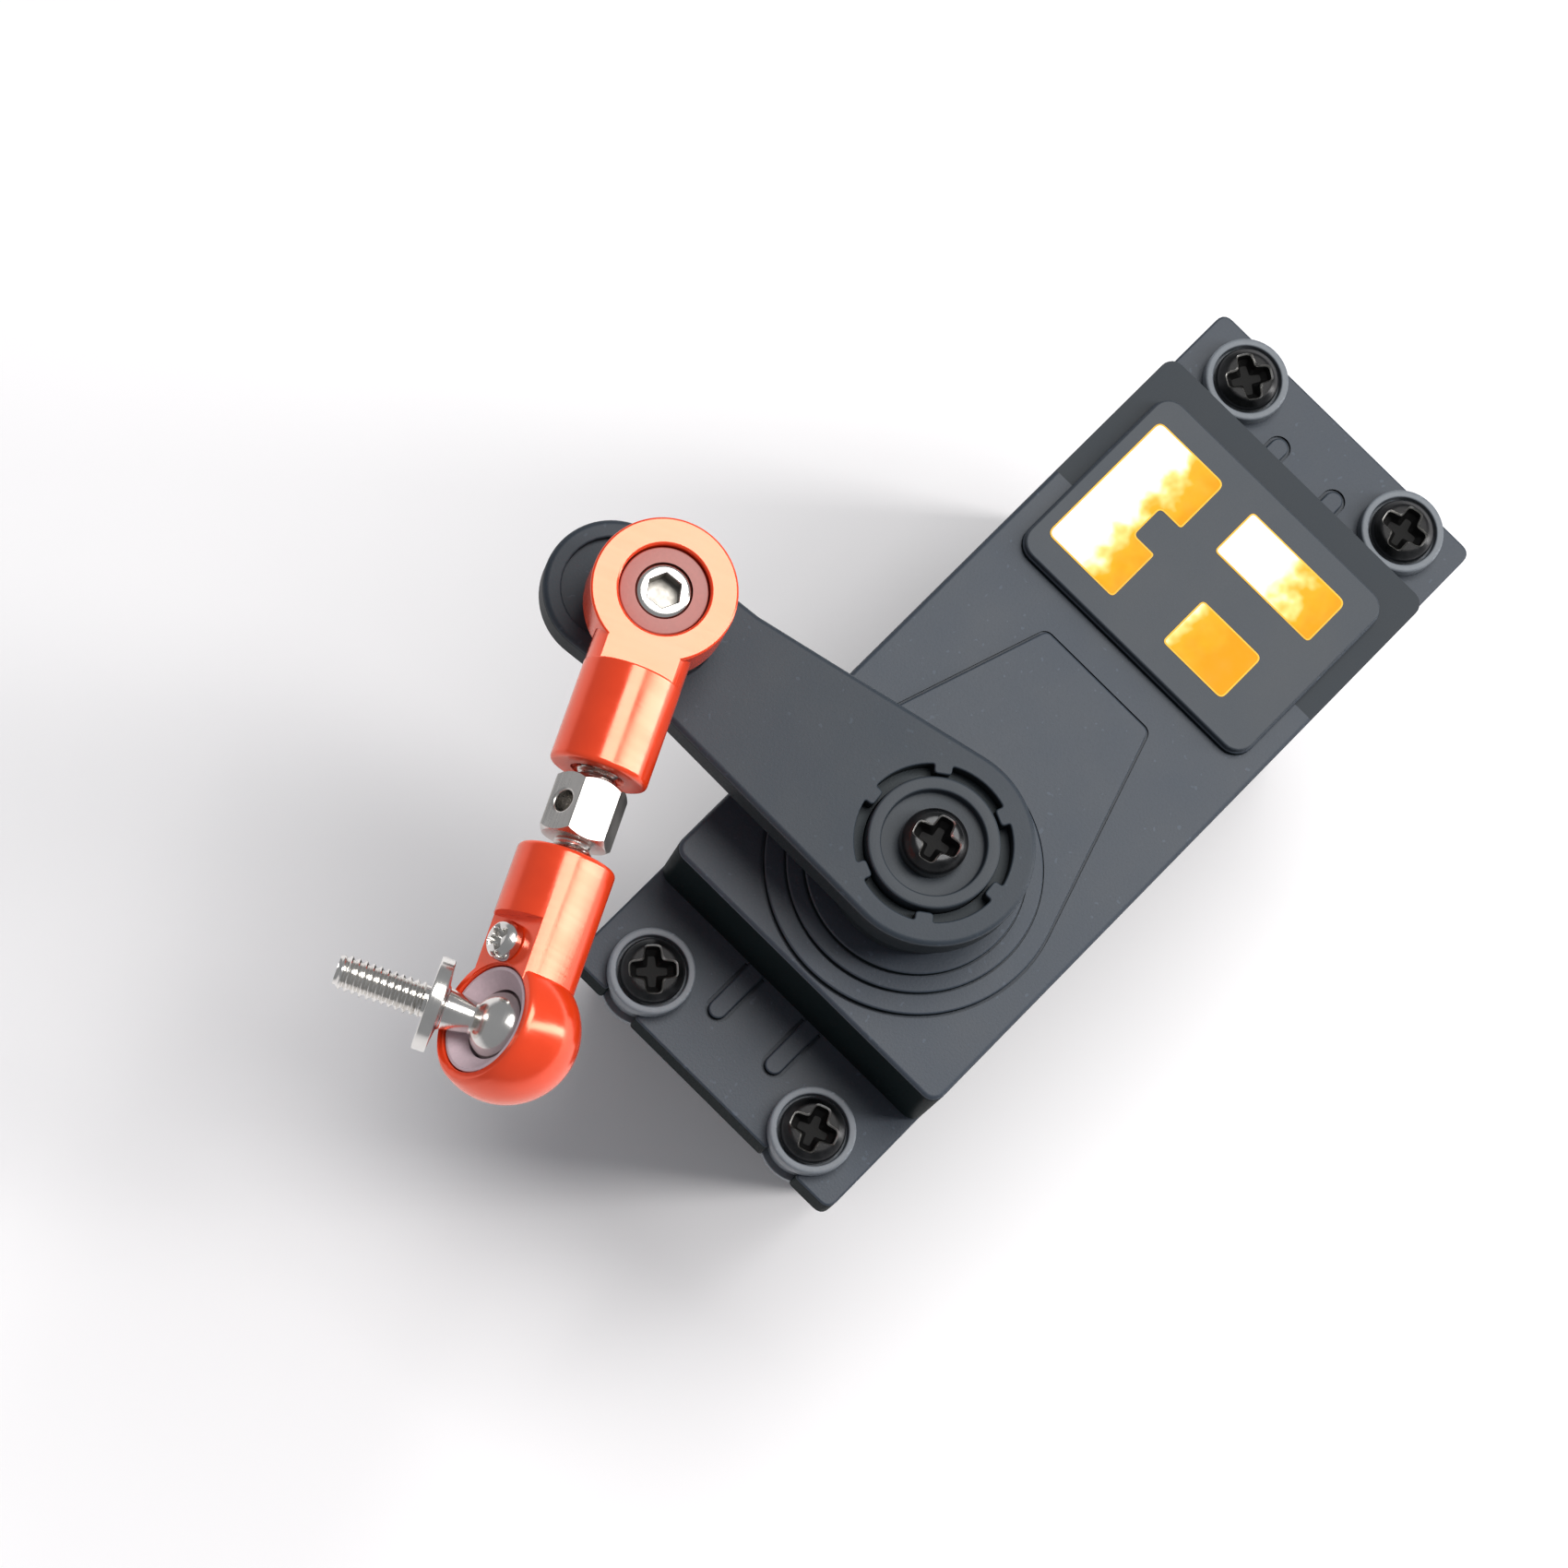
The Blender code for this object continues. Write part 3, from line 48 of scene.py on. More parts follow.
# Case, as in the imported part
CASE_X = (-8.8, 32.0)
CASE_MID_X = sum(CASE_X) / 2
HALF_W = 10.0
CORNER = 0.8
CASE_TOP = 36.0
WALL = 1.5
POST = 4.2
SCREW_INSET = 2.2
SCREW_BORE_R = 1.15
POST_BORE_R = 1.05
DECK_Z = (25.7, 26.9)
CHAMBER_TOP = CASE_TOP - WALL
LOWER_Z = (0.0, 8.0)
MIDDLE_Z = (8.3, 29.0)
UPPER_FOOT = 29.3
MARGIN_DROP = 0.18  # of the darker, finer-grained strip round the label's pad
EAR_OUT = 6.75
EAR_Z = (26.5, 28.99)
EAR_HOLE_X = 24.75
EAR_HOLE_Y = 6.25
EAR_HOLE_R = 2.2
EAR_MOUTH = 1.1
EAR_SCREW_SEAT = 29.5
EAR_TURNS = (0.35, 0.8, 0.2, 1.0)
MARGIN_X = 22.2
BOSS = ((8.3, 0.35, 0.16), (7.15, 0.7, 0.11), (6.2, 1.1, 0.11))  # radius, rise, groove width
GROOVE_DEPTH = 0.14
PANEL_END = (15.0, 3.95)
PAD_X = (17.25, 30.0)
PAD_HALF_W = 8.7
PAD_TOP = 36.4
LABEL_Z = (36.45, 36.8)
IDLER_X = 8.4
AXLE_BORE_R = 0.82
MOTOR_X = 16.8

# Arm and link
ARM_Z = (40.2, 42.5)
HUB_R = 5.65
END_R = 3.85
ARM_LENGTH = 22.0
WAIST_X = 15.0
STUD_AT = 19.5
INSERT_Z = (37.9, 42.65)
INSERT_R = 3.65
INSERT_DISH = (2.9, 41.95)  # radius, floor
BALL_R = 2.0
BALL_Z = 46.8
LINK_LENGTH = 24.8
ROD_R = 2.7
HEAD_HALF_T = 1.8
NUT_ROLL = math.radians(47.0)
STUD_TILT = math.radians(36.0)
HEAD_R = 3.95
SHANK_R = 1.15
THREAD_R = 1.0
SHANK_CORE_R = 0.95
SHANK_PITCH = 0.45
STUD_CORE_R = 0.78
STUD_PITCH = 0.4
THREAD_ENDS = (6.2, 18.2)  # of the turnbuckle's shank, along the link
NUT_X = (10.85, 14.15)  # of the turnbuckle's hexagon, along the link
NUT_ACROSS = 3.6
SOCKET_R = 2.12
UPPER_TUBE = (4.6, 10.3)
LOWER_TUBE_START = 15.1
CUP_R = 3.9
CUP_FACE = 1.7
CLAMP_X = -4.2
CLAMP_FLAT = 1.75

ARM = Matrix.Rotation(math.radians(96.3), 4, "Z")
STUD = ARM @ Matrix.Translation(Vector((STUD_AT, 0.0, BALL_Z)) * MM)
SWING = Matrix.Translation(STUD.translation) @ Matrix.Rotation(math.radians(205.3), 4, "Z")
LOWER = (
    SWING
    @ Matrix.Translation((LINK_LENGTH * MM, 0.0, 0.0))
    @ Matrix.Rotation(math.radians(55.0), 4, "X")
)
ALONG_X = Matrix(((0, 0, 1, 0), (1, 0, 0, 0), (0, 1, 0, 0), (0, 0, 0, 1)))


# ------------------------------------------------------------------------ outlines


def arc(radius, count, centre=(0.0, 0.0), start=0.0, sweep=TAU):
    steps = count if abs(sweep) >= TAU - 1e-6 else count - 1
    turns = [start + sweep * i / steps for i in range(count)]
    return [(centre[0] + radius * math.cos(t), centre[1] + radius * math.sin(t)) for t in turns]


def soft(points, closed=True, steps=5):
    """An outline whose corners are rounded: a point is (x, y) or (x, y, corner radius)."""
    made = []
    count = len(points)
    for i, point in enumerate(points):
        here = Vector(point[:2])
        radius = point[2] if len(point) > 2 else 0.0
        if radius == 0 or (not closed and i in (0, count - 1)):
            made.append(tuple(here))
            continue
        back = Vector(points[i - 1][:2]) - here
        on = Vector(points[(i + 1) % count][:2]) - here
        half = back.angle(on) / 2
        reach = min(radius / math.tan(half), 0.49 * back.length, 0.49 * on.length)
        first, last = here + back.normalized() * reach, here + on.normalized() * reach
        for k in range(steps + 1):
            u = k / steps
            made.append(tuple(first * (1 - u) ** 2 + here * 2 * u * (1 - u) + last * u * u))
    return made


def box(x, y, radius, steps=7):
    made = []
    for cx, cy, turn in (
        (x[1] - radius, y[1] - radius, 0.0),
        (x[0] + radius, y[1] - radius, 0.25),
        (x[0] + radius, y[0] + radius, 0.5),
        (x[1] - radius, y[0] + radius, 0.75),
    ):
        made += arc(radius, steps, (cx, cy), turn * TAU, TAU / 4)
    return made


def stadium(start, stop, half, steps=17):
    return arc(half, steps, (start, 0.0), TAU / 4, TAU / 2) + arc(
        half, steps, (stop, 0.0), -TAU / 4, TAU / 2
    )


def inset(points, distance):
    """The outline moved inwards, or outwards by a negative distance."""
    made = []
    for i, point in enumerate(points):
        here = Vector(point)
        before = (here - Vector(points[i - 1])).normalized()
        after = (Vector(points[(i + 1) % len(points)]) - here).normalized()
        inward = Vector((-before.y, before.x)) + Vector((-after.y, after.x))
        made.append(tuple(here + inward * (distance / max(0.4, 1 + before.dot(after)))))
    return made


def case_outline():
    return box(CASE_X, (-HALF_W, HALF_W), CORNER)


def cavity_outline(clearance=0.0):
    side, n = WALL + clearance, POST - WALL
    (x0, x1), y1 = (CASE_X[0] + side, CASE_X[1] - side), HALF_W - side
    right = [(x1 - n, -y1), (x1 - n, -y1 + n), (x1, -y1 + n)]
    right += [(x1, y1 - n), (x1 - n, y1 - n), (x1 - n, y1)]
    left = [(x0 + n, y1), (x0 + n, y1 - n), (x0, y1 - n)]
    left += [(x0, -y1 + n), (x0 + n, -y1 + n), (x0 + n, -y1)]
    return right + left


def screw_places():
    return [
        (x, sy * (HALF_W - SCREW_INSET))
        for x in (CASE_X[0] + SCREW_INSET, CASE_X[1] - SCREW_INSET)
        for sy in (-1, 1)
    ]


# -------------------------------------------------------------------------- solids


def loft(bm, rings, closed=False):
    """Skin through rings of 3-D points of equal length, capped unless closed on itself."""
    rows = [[bm.verts.new(p) for p in ring] for ring in rings]
    pairs = list(zip(rows, rows[1:])) + ([(rows[-1], rows[0])] if closed else [])
    for low, high in pairs:
        for i in range(len(low)):
            j = (i + 1) % len(low)
            bm.faces.new((low[i], low[j], high[j], high[i]))
    if not closed:
        bm.faces.new(rows[0][::-1])
        bm.faces.new(rows[-1])


def slab(bm, outline, low, high, top=0.0, bottom=0.0, steps=4):
    """Prism with round edges above and below."""
    levels = []
    for k in range(steps + 1 if bottom else 1):
        turn = k / steps * TAU / 4
        levels.append((bottom * (1 - math.sin(turn)), low + bottom * (1 - math.cos(turn))))
    for k in range(steps + 1 if top else 1):
        turn = k / steps * TAU / 4
        levels.append((top * (1 - math.cos(turn)), high - top * (1 - math.sin(turn))))
    rings = [[(x, y, z) for x, y in inset(outline, d)] for d, z in levels]
    loft(bm, rings)


def pit(bm, outline, floor, top, flare=0.12, steps=4):
    """Cutter for a hollow with a rounded rim at top."""
    levels = [(0.0, floor)]
    for k in range(steps + 1):
        turn = k / steps * TAU / 4
        levels.append((-flare * (1 - math.cos(turn)), top - flare * (1 - math.sin(turn))))
    levels.append((-flare, top + 2.0))
    loft(bm, [[(x, y, z) for x, y in inset(outline, d)] for d, z in levels])


def bore(bm, outline, low, high, flare=0.12, steps=4):
    """Cutter for a through hole whose rims at low and high are rounded."""
    levels = [(-flare, low - 2.0)]
    for end, side in ((low, 1), (high, -1)):
        rim = []
        for k in range(steps + 1):
            turn = k / steps * TAU / 4
            rim.append((-flare * (1 - math.cos(turn)), end + side * flare * (1 - math.sin(turn))))
        levels += rim[::side * -1]
    levels.append((-flare, high + 2.0))
    loft(bm, [[(x, y, z) for x, y in inset(outline, d)] for d, z in levels])


def lathe(bm, profile, segments=64, at=(0.0, 0.0), closed=None):
    """Turned solid from (radius, height[, corner]) points; a ring if none is on the axis."""
    if closed is None:
        closed = min(p[0] for p in profile) > 0
    points = soft(profile, closed)
    rows = []
    for radius, height in points:
        ring = [(at[0], at[1])] if radius < 1e-6 else arc(radius, segments, at)
        rows.append([bm.verts.new((x, y, height)) for x, y in ring])
    pairs = list(zip(rows, rows[1:])) + ([(rows[-1], rows[0])] if closed else [])
    for low, high in pairs:
        for i in range(segments):
            j = (i + 1) % segments
            ring = (low[i % len(low)], low[j % len(low)], high[j % len(high)], high[i % len(high)])
            face = list(dict.fromkeys(ring))
            if len(face) > 2:
                bm.faces.new(face)


def thread(bm, core, crest, low, high, pitch, segments=28, blend=1.0, point=0.0):
    """Helical thread on a rod along the axis; point is the length of a taper at low."""
    rows = []
    steps = int(round((high - low) / pitch * 8))
    for k in range(steps + 1):
        z = low + (high - low) * k / steps
        fade = min(1.0, (high - z) / (blend * pitch), (z - low) / (blend * pitch))
        taper = min(1.0, 0.25 + 0.75 * (z - low) / point) if point else 1.0
        row = []
        for i in range(segments):
            turn = TAU * i / segments
            phase = (z / pitch - i / segments) % 1.0
            ridge = max(0.0, 1 - abs(phase - 0.5) / 0.42) ** 0.9
            radius = (core + (crest - core) * min(1.0, ridge) * max(0.0, fade)) * taper
            row.append((radius * math.cos(turn), radius * math.sin(turn), z))
        rows.append(row)
    loft(bm, rows)


def meridian(radius, low, high, steps=20):
    first, last = math.asin(max(-1, low / radius)), math.asin(min(1, high / radius))
    turns = [first + (last - first) * k / steps for k in range(steps + 1)]
    return [(radius * math.cos(t), radius * math.sin(t)) for t in turns]


def cross_pit(bm, reach, half, floor, top):
    """Tapered cross-head recess with round-ended wings and a chamfered rim."""
    rings = []
    levels = (
        (0.35, floor),
        (0.8, floor + (top - floor) * 0.3),
        (0.93, top - 0.16),
        (1.0, top - 0.1),
        (1.14, top),
        (1.2, top + 1.5),
    )
    for share, z in levels:
        outline = []
        for quarter in range(4):
            c, s = math.cos(quarter * TAU / 4), math.sin(quarter * TAU / 4)
            r, h = reach * (0.45 + 0.55 * share), half * (0.2 + 0.8 * share)
            for x, y, soften in ((r, -h, h * 0.6), (r, h, h * 0.6), (h * 1.25, h * 1.25, h * 0.6)):
                outline.append((x * c - y * s, x * s + y * c, soften))
        rings.append([(x, y, z) for x, y in soft(outline, steps=3)])
    loft(bm, rings)


def along_x(bm, build):
    """Builds along X what the inner function builds along Z."""
    before = set(bm.verts)
    build(bm)
    bmesh.ops.transform(bm, matrix=ALONG_X, verts=[v for v in bm.verts if v not in before])


def prism(outline, low, high, top=0.0, bottom=0.0, steps=4):
    return lambda bm: slab(bm, outline, low, high, top, bottom, steps)


def turned(profile, segments=64, at=(0.0, 0.0)):
    return lambda bm: lathe(bm, profile, segments, at)


def lying(build):
    return lambda bm: along_x(bm, build)


# -------------------------------------------------------------------------- pieces


def mesh_of(build):
    bm = bmesh.new()
    build(bm)
    bmesh.ops.recalc_face_normals(bm, faces=bm.faces)
    bm.transform(Matrix.Scale(MM, 4))
    mesh = bpy.data.meshes.new("piece")
    bm.to_mesh(mesh)
    bm.free()
    return mesh


def piece(name, build, finish, body, replaces=(), at=Matrix.Identity(4), smooth=32):
    """A visible piece: its mesh from build, its place, and the CAD body and nodes it goes with."""
    made = bpy.data.objects.new(name, mesh_of(build))
    bpy.context.scene.collection.objects.link(made)
    made.matrix_world = at
    made.data.materials.append(finish)
    made["smooth"] = smooth
    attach(made, body)
    if replaces:
        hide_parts(*replaces)
    shade(made)
    return made


def shade(made):
    made.data.shade_smooth()
    made.data.set_sharp_from_angle(angle=math.radians(made["smooth"]))
    if "normals" not in made.modifiers:
        normals = made.modifiers.new("normals", "WEIGHTED_NORMAL")
        normals.keep_sharp = True
        normals.weight = 80


def guide(build):
    tool = bpy.data.objects.new("guide", mesh_of(build))
    bpy.context.scene.collection.objects.link(tool)
    return tool


def combine(made, operation, *builds):
    """Joins solids to the piece, or cuts them from it, and keeps the result as its mesh."""
    made.modifiers.clear()
    tools = []
    for build in builds:
        tool = build if isinstance(build, bpy.types.Object) else guide(build)
        tool.matrix_world = made.matrix_world
        modifier = made.modifiers.new("solid", "BOOLEAN")
        modifier.operation = operation
        modifier.object = tool
        modifier.solver = "EXACT"
        tools.append(tool)
    bpy.context.view_layer.update()
    graph = bpy.context.evaluated_depsgraph_get()
    mesh = bpy.data.meshes.new_from_object(made.evaluated_get(graph))
    made.modifiers.clear()
    made.data = mesh
    for tool in tools:
        bpy.data.objects.remove(tool)
    if "smooth" in made:
        shade(made)


def cut(made, *builds):
    combine(made, "DIFFERENCE", *builds)


def join(made, *builds):
    combine(made, "UNION", *builds)


def append(made, build):
    """Adds a shell to the piece without a boolean."""
    bm = bmesh.new()
    bm.from_mesh(made.data)
    extra = mesh_of(build)
    bm.from_mesh(extra)
    bm.to_mesh(made.data)
    bm.free()
    shade(made)


# ----------------------------------------------------------------------- materials


class Tree:
    """A material's nodes, with short calls to add them."""

    def __init__(self, name, metallic=0.0, coat=0.0, coat_roughness=0.1, specular=0.5, ior=1.5):
        self.material = bpy.data.materials.new(name)
        self.material.use_nodes = True
        self.tree = self.material.node_tree
        self.shader = self.tree.nodes["Principled BSDF"]
        self.shader.inputs["Metallic"].default_value = metallic
        self.shader.inputs["Coat Weight"].default_value = coat
        self.shader.inputs["Coat Roughness"].default_value = coat_roughness
        self.shader.inputs["Specular IOR Level"].default_value = specular
        self.shader.inputs["IOR"].default_value = ior
        self.place = self.add("ShaderNodeTexCoord").outputs["Object"]

    def add(self, kind, inputs=None, **settings):
        node = self.tree.nodes.new(kind)
        for key, value in settings.items():
            setattr(node, key, value)
        for key, value in (inputs or {}).items():
            if isinstance(value, bpy.types.NodeSocket):
                self.tree.links.new(value, node.inputs[key])
            else:
                node.inputs[key].default_value = value
        return node

    def stretched(self, scale):
        return self.add("ShaderNodeMapping", {"Vector": self.place, "Scale": scale}).outputs[0]

    def noise(self, scale, detail=2.0, place=None, rough=0.5):
        return self.add(
            "ShaderNodeTexNoise",
            {"Vector": place or self.place, "Scale": scale, "Detail": detail, "Roughness": rough},
        ).outputs["Fac"]

    def math(self, operation, a, b=0.0, c=0.0):
        return self.add("ShaderNodeMath", {0: a, 1: b, 2: c}, operation=operation).outputs[0]

    def ramp(self, value, *stops):
        node = self.add("ShaderNodeValToRGB", {"Fac": value})
        elements = node.color_ramp.elements
        while len(elements) < len(stops):
            elements.new(0.5)
        for element, (at, colour) in zip(elements, stops):
            element.position = at
            element.color = (*colour, 1.0)
        return node.outputs["Color"]

    def spread(self, value, low, high, start=0.3, stop=0.7):
        keys = {"Value": value, "From Min": start, "From Max": stop, "To Min": low, "To Max": high}
        return self.add("ShaderNodeMapRange", keys).outputs["Result"]

    def link(self, value, key):
        self.tree.links.new(value, self.shader.inputs[key])

    def bump(self, height, distance, strength=1.0, normal=None):
        keys = {"Height": height, "Distance": distance, "Strength": strength}
        node = self.add("ShaderNodeBump", keys)
        if normal:
            self.tree.links.new(normal, node.inputs["Normal"])
        self.link(node.outputs["Normal"], "Normal")
        return node.outputs["Normal"]


def scaled(colour, factor):
    return tuple(min(1.0, c * factor) for c in colour)


def moulded(
    name, colour, rough=0.62, grain=7000, depth=0.000012, specks=0.0, specular=0.5, ior=1.5
):
    """Moulded plastic: spark-eroded grain, slow colour drift, and a little dust."""
    t = Tree(name, specular=specular, ior=ior)
    fine = t.noise(grain, 3.0)
    slow = t.noise(260, 3.0)
    mixed = t.math("MULTIPLY_ADD", fine, 0.35, t.math("MULTIPLY", slow, 0.65))
    stops = [(0.35, scaled(colour, 0.90)), (0.62, scaled(colour, 1.08))]
    base = t.ramp(mixed, *stops)
    if specks:
        dust = t.spread(t.noise(2300, 1.0), 0.0, specks, 0.715, 0.75)
        node = t.add("ShaderNodeMix", data_type="RGBA")
        t.tree.links.new(dust, node.inputs[0])
        t.tree.links.new(base, node.inputs[6])
        node.inputs[7].default_value = (*scaled(colour, 3.2), 1.0)
        base = node.outputs[2]
    t.link(base, "Base Color")
    t.link(t.spread(slow, rough - 0.025, rough + 0.025), "Roughness")
    t.bump(fine, depth)
    return t.material


def turned_metal(name, colour, rough, streak=(40, 9000, 9000), depth=0.000004, **shader):
    """Machined metal: fine tool marks, patches of polish and small stains."""
    t = Tree(name, **{"metallic": 1.0, **shader})
    marks = t.noise(1.0, 4.0, t.stretched(streak))
    patches = t.noise(420, 3.0)
    t.link(t.ramp(patches, (0.3, scaled(colour, 0.9)), (0.7, scaled(colour, 1.06))), "Base Color")
    both = t.math("MULTIPLY_ADD", marks, 0.5, t.math("MULTIPLY", patches, 0.5))
    t.link(t.spread(both, rough * 0.7, rough * 1.4), "Roughness")
    t.bump(marks, depth)
    return t.material


def black_oxide(name):
    t = Tree(name, metallic=0.75, coat=0.25, coat_roughness=0.22)
    patches = t.noise(900, 4.0)
    stops = (0.35, (0.008, 0.009, 0.010)), (0.75, (0.034, 0.034, 0.036))
    t.link(t.ramp(patches, *stops), "Base Color")
    t.link(t.spread(patches, 0.24, 0.42), "Roughness")
    t.bump(t.noise(5200, 3.0), 0.000006)
    return t.material


def print_blocks(name, low, high):
    """Ink that runs from orange through yellow to white along Y, with a torn edge."""
    t = Tree(name, specular=0.1)
    y = t.add("ShaderNodeSeparateXYZ", {"Vector": t.place}).outputs["Y"]
    share = t.spread(y, 0.0, 1.0, low * MM, high * MM)
    torn = t.math("MULTIPLY_ADD", t.noise(700, 2.0), 0.5, share)
    stops = (
        (0.50, (0.97, 0.33, 0.003)),
        (0.70, (0.97, 0.41, 0.010)),
        (0.80, (0.97, 0.74, 0.22)),
        (0.90, (0.94, 0.92, 0.88)),
    )
    t.link(t.ramp(torn, *stops), "Base Color")
    t.link(t.spread(t.noise(900, 2.0), 0.35, 0.5), "Roughness")
    t.bump(t.noise(9000, 2.0), 0.000004)
    return t.material


def board_finish(name):
    t = Tree(name, coat=0.3, coat_roughness=0.25)
    brick = t.add("ShaderNodeTexBrick", {"Vector": t.place, "Scale": 240.0, "Mortar Size": 0.035})
    tracks = t.ramp(brick.outputs["Fac"], (0.4, (0.012, 0.11, 0.035)), (0.6, (0.03, 0.2, 0.07)))
    t.link(tracks, "Base Color")
    t.link(t.spread(t.noise(500), 0.4, 0.55), "Roughness")
    t.bump(brick.outputs["Fac"], 0.00002)
    return t.material


def wound_copper(name):
    t = Tree(name, metallic=1.0, coat=0.5, coat_roughness=0.15)
    wave = t.add("ShaderNodeTexWave", {"Vector": t.place, "Scale": 900.0, "Distortion": 0.6})
    wire = wave.outputs["Fac"]
    t.link(t.ramp(wire, (0.1, (0.32, 0.10, 0.035)), (0.8, (0.85, 0.36, 0.16))), "Base Color")
    t.link(t.spread(t.noise(700), 0.28, 0.42), "Roughness")
    t.bump(wire, 0.00005)
    return t.material


CASE_BLACK = moulded("case_black", (0.034, 0.045, 0.062), rough=0.5, specks=0.22, specular=0.40)
# Painted shade: a darker, barely reflective copy of the case plastic for the side faces.
CASE_WALL_SHADE = moulded(
    "case_wall_painted_shade", (0.009, 0.0135, 0.0145), rough=0.45, grain=9000, specular=0.3, ior=1.07
)
# Strip round the label's pad: darker and finer-grained than the case top.
CASE_MARGIN_DARKER = moulded(
    "case_smooth", (0.026, 0.033, 0.041), rough=0.55, grain=11000, depth=0.000004, specular=0.25
)
ARM_BLACK = moulded(
    "arm_black",
    (0.024, 0.033, 0.045),
    rough=0.53,
    grain=8200,
    depth=0.00001,
    specks=0.2,
    specular=0.35,
)
# Painted shade: a darker, barely reflective copy of the arm plastic for the side faces.
ARM_WALL_SHADE = moulded(
    "arm_wall_painted_shade", (0.016, 0.020, 0.023), rough=0.45, grain=9000, specular=0.3, ior=1.2
)
# Painted shade: a darker, less reflective copy of the arm plastic for the hub pocket's floor.
ARM_POCKET_SHADE = moulded("arm_pocket_painted_shade", (0.024, 0.033, 0.040), rough=0.5, grain=9000, specular=0.22)
INSERT_BLACK = moulded(
    "insert_black", (0.027, 0.035, 0.045), rough=0.5, grain=9500, depth=0.000007, specular=0.34
)
LABEL_FILM = moulded(
    "label_film", (0.036, 0.045, 0.057), rough=0.5, grain=12000, depth=0.000005, specular=0.36
)
# Grey rubber lightened past its own tone: partly its colour, partly painted sheen.
RUBBER_PAINTED_SHEEN = moulded(
    "rubber", (0.145, 0.163, 0.186), rough=0.5, grain=5200, depth=0.000009, specks=0.2
)
NYLON = moulded("nylon", (0.74, 0.72, 0.66), rough=0.45, grain=4200, depth=0.000006)
FERRITE = moulded("ferrite", (0.055, 0.055, 0.058), rough=0.6, grain=5200, depth=0.00002)
CHIP = moulded("chip", (0.022, 0.023, 0.026), rough=0.5, grain=9000, depth=0.000008)
INK_RIM = moulded(
    "ink_rim", (0.97, 0.52, 0.06), rough=0.45, grain=9000, depth=0.000004, specular=0.1
)
# Painted shade: a dark, barely reflective copy of the screw finish for the flat tops of the tray
# screws' heads.
OXIDE_FACE_SHADE = moulded("oxide_face_painted_shade", (0.010, 0.010, 0.011), rough=0.42, grain=9000, specular=0.16)
# Painted shade: near-black, barely reflective finish for the deep part of the cross recesses.
RECESS_SHADE = moulded("recess", (0.006, 0.006, 0.006), rough=0.5, specular=0.1)
LINER_PALE = moulded("liner_pale", (0.60, 0.47, 0.52), rough=0.38, grain=5000, depth=0.000004)
LINER_DARK = moulded("liner_dark", (0.36, 0.075, 0.055), rough=0.35, grain=5000, depth=0.000004)
BOARD = board_finish("board")
COPPER = wound_copper("copper")
BLACK_STEEL = black_oxide("black_steel")
STEEL = turned_metal("steel", (0.62, 0.60, 0.57), 0.3)
STEEL_Z = turned_metal("steel_turned_z", (0.76, 0.74, 0.71), 0.17, (40, 40, 9000))
# Painted shade: darker steel for the inside of the ball's hex socket.
SOCKET_SHADE = turned_metal("socket_steel_painted_shade", (0.30, 0.285, 0.26), 0.4, (2500, 2500, 2500))
# Brighter steel for the chamfered rim of the cross recesses.
BRIGHT_RIM = turned_metal("bright_rim_steel", (0.62, 0.61, 0.59), 0.35, (3000, 3000, 3000))
CAN = turned_metal("can_steel", (0.52, 0.52, 0.53), 0.34, (300, 300, 9000))
BRASS = turned_metal("brass", (0.80, 0.56, 0.22), 0.3)
BRONZE = turned_metal("bronze", (0.52, 0.32, 0.15), 0.42, (2600, 2600, 2600), 0.00001)
IRON = turned_metal("core_iron", (0.34, 0.34, 0.35), 0.45, (60, 60, 14000), 0.00002)
RED = turned_metal(
    "red_anodised", (1.0, 0.060, 0.010), 0.17, (7000, 160, 160), 0.000002, metallic=0.3, ior=1.95
)
RED_SHADER = RED.node_tree.nodes["Principled BSDF"]
RED_SHADER.inputs["Specular Tint"].default_value = (1.0, 0.90, 0.74, 1.0)

INNER_NODES = {
    "output_bush": BRONZE,
    "motor_lower_bush": BRONZE,
    "motor_upper_bush": BRONZE,
    "output_gear": NYLON,
    "first_gear": NYLON,
    "second_gear": NYLON,
    "third_gear": NYLON,
    "motor_end_cap": NYLON,
    "pot_header": NYLON,
    "gear_axle": STEEL_Z,
    "motor_shaft": STEEL_Z,
    "pot_shaft": STEEL_Z,
    "motor_can": CAN,
    "pot_body": CAN,
    "motor_magnet_1": FERRITE,
    "motor_magnet_2": FERRITE,
    "motor_brush_1": BRASS,
    "motor_brush_2": BRASS,
    "motor_pinion": BRASS,
    "commutator": BRASS,
    "pot_wiper": BRASS,
    "rotor_core": IRON,
    "rotor_windings": COPPER,
    "circuit_board": BOARD,
    "control_chip": CHIP,
    "driver_chip": CHIP,
    "pot_track": CHIP,
    "board_capacitor": CHIP,
}


def dress_inner_nodes():
    """The hidden CAD nodes stay as they are, each with its own finish."""
    for name, finish in INNER_NODES.items():
        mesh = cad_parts[name].data
        mesh.materials.clear()
        mesh.materials.append(finish)


# ---------------------------------------------------------------------------- case


def panel_outline():
    end_x, half = PANEL_END
    radius = BOSS[0][0]
    touch = math.atan2(half, end_x) + math.acos(radius / math.hypot(end_x, half))
    round_end = arc(radius, 90, start=touch, sweep=TAU - 2 * touch)
    return soft([(end_x, -half, 0.5), (end_x, half, 0.5)] + round_end)


def paint_wall_shade(made, finish):
    """Drafted side faces get a darker, barely reflective, finer-grained copy of the finish:
    painted shade.
    """
    made.data.materials.append(finish)
    for face in made.data.polygons:
        if abs(face.normal.z) < 0.35:
            face.material_index = 1


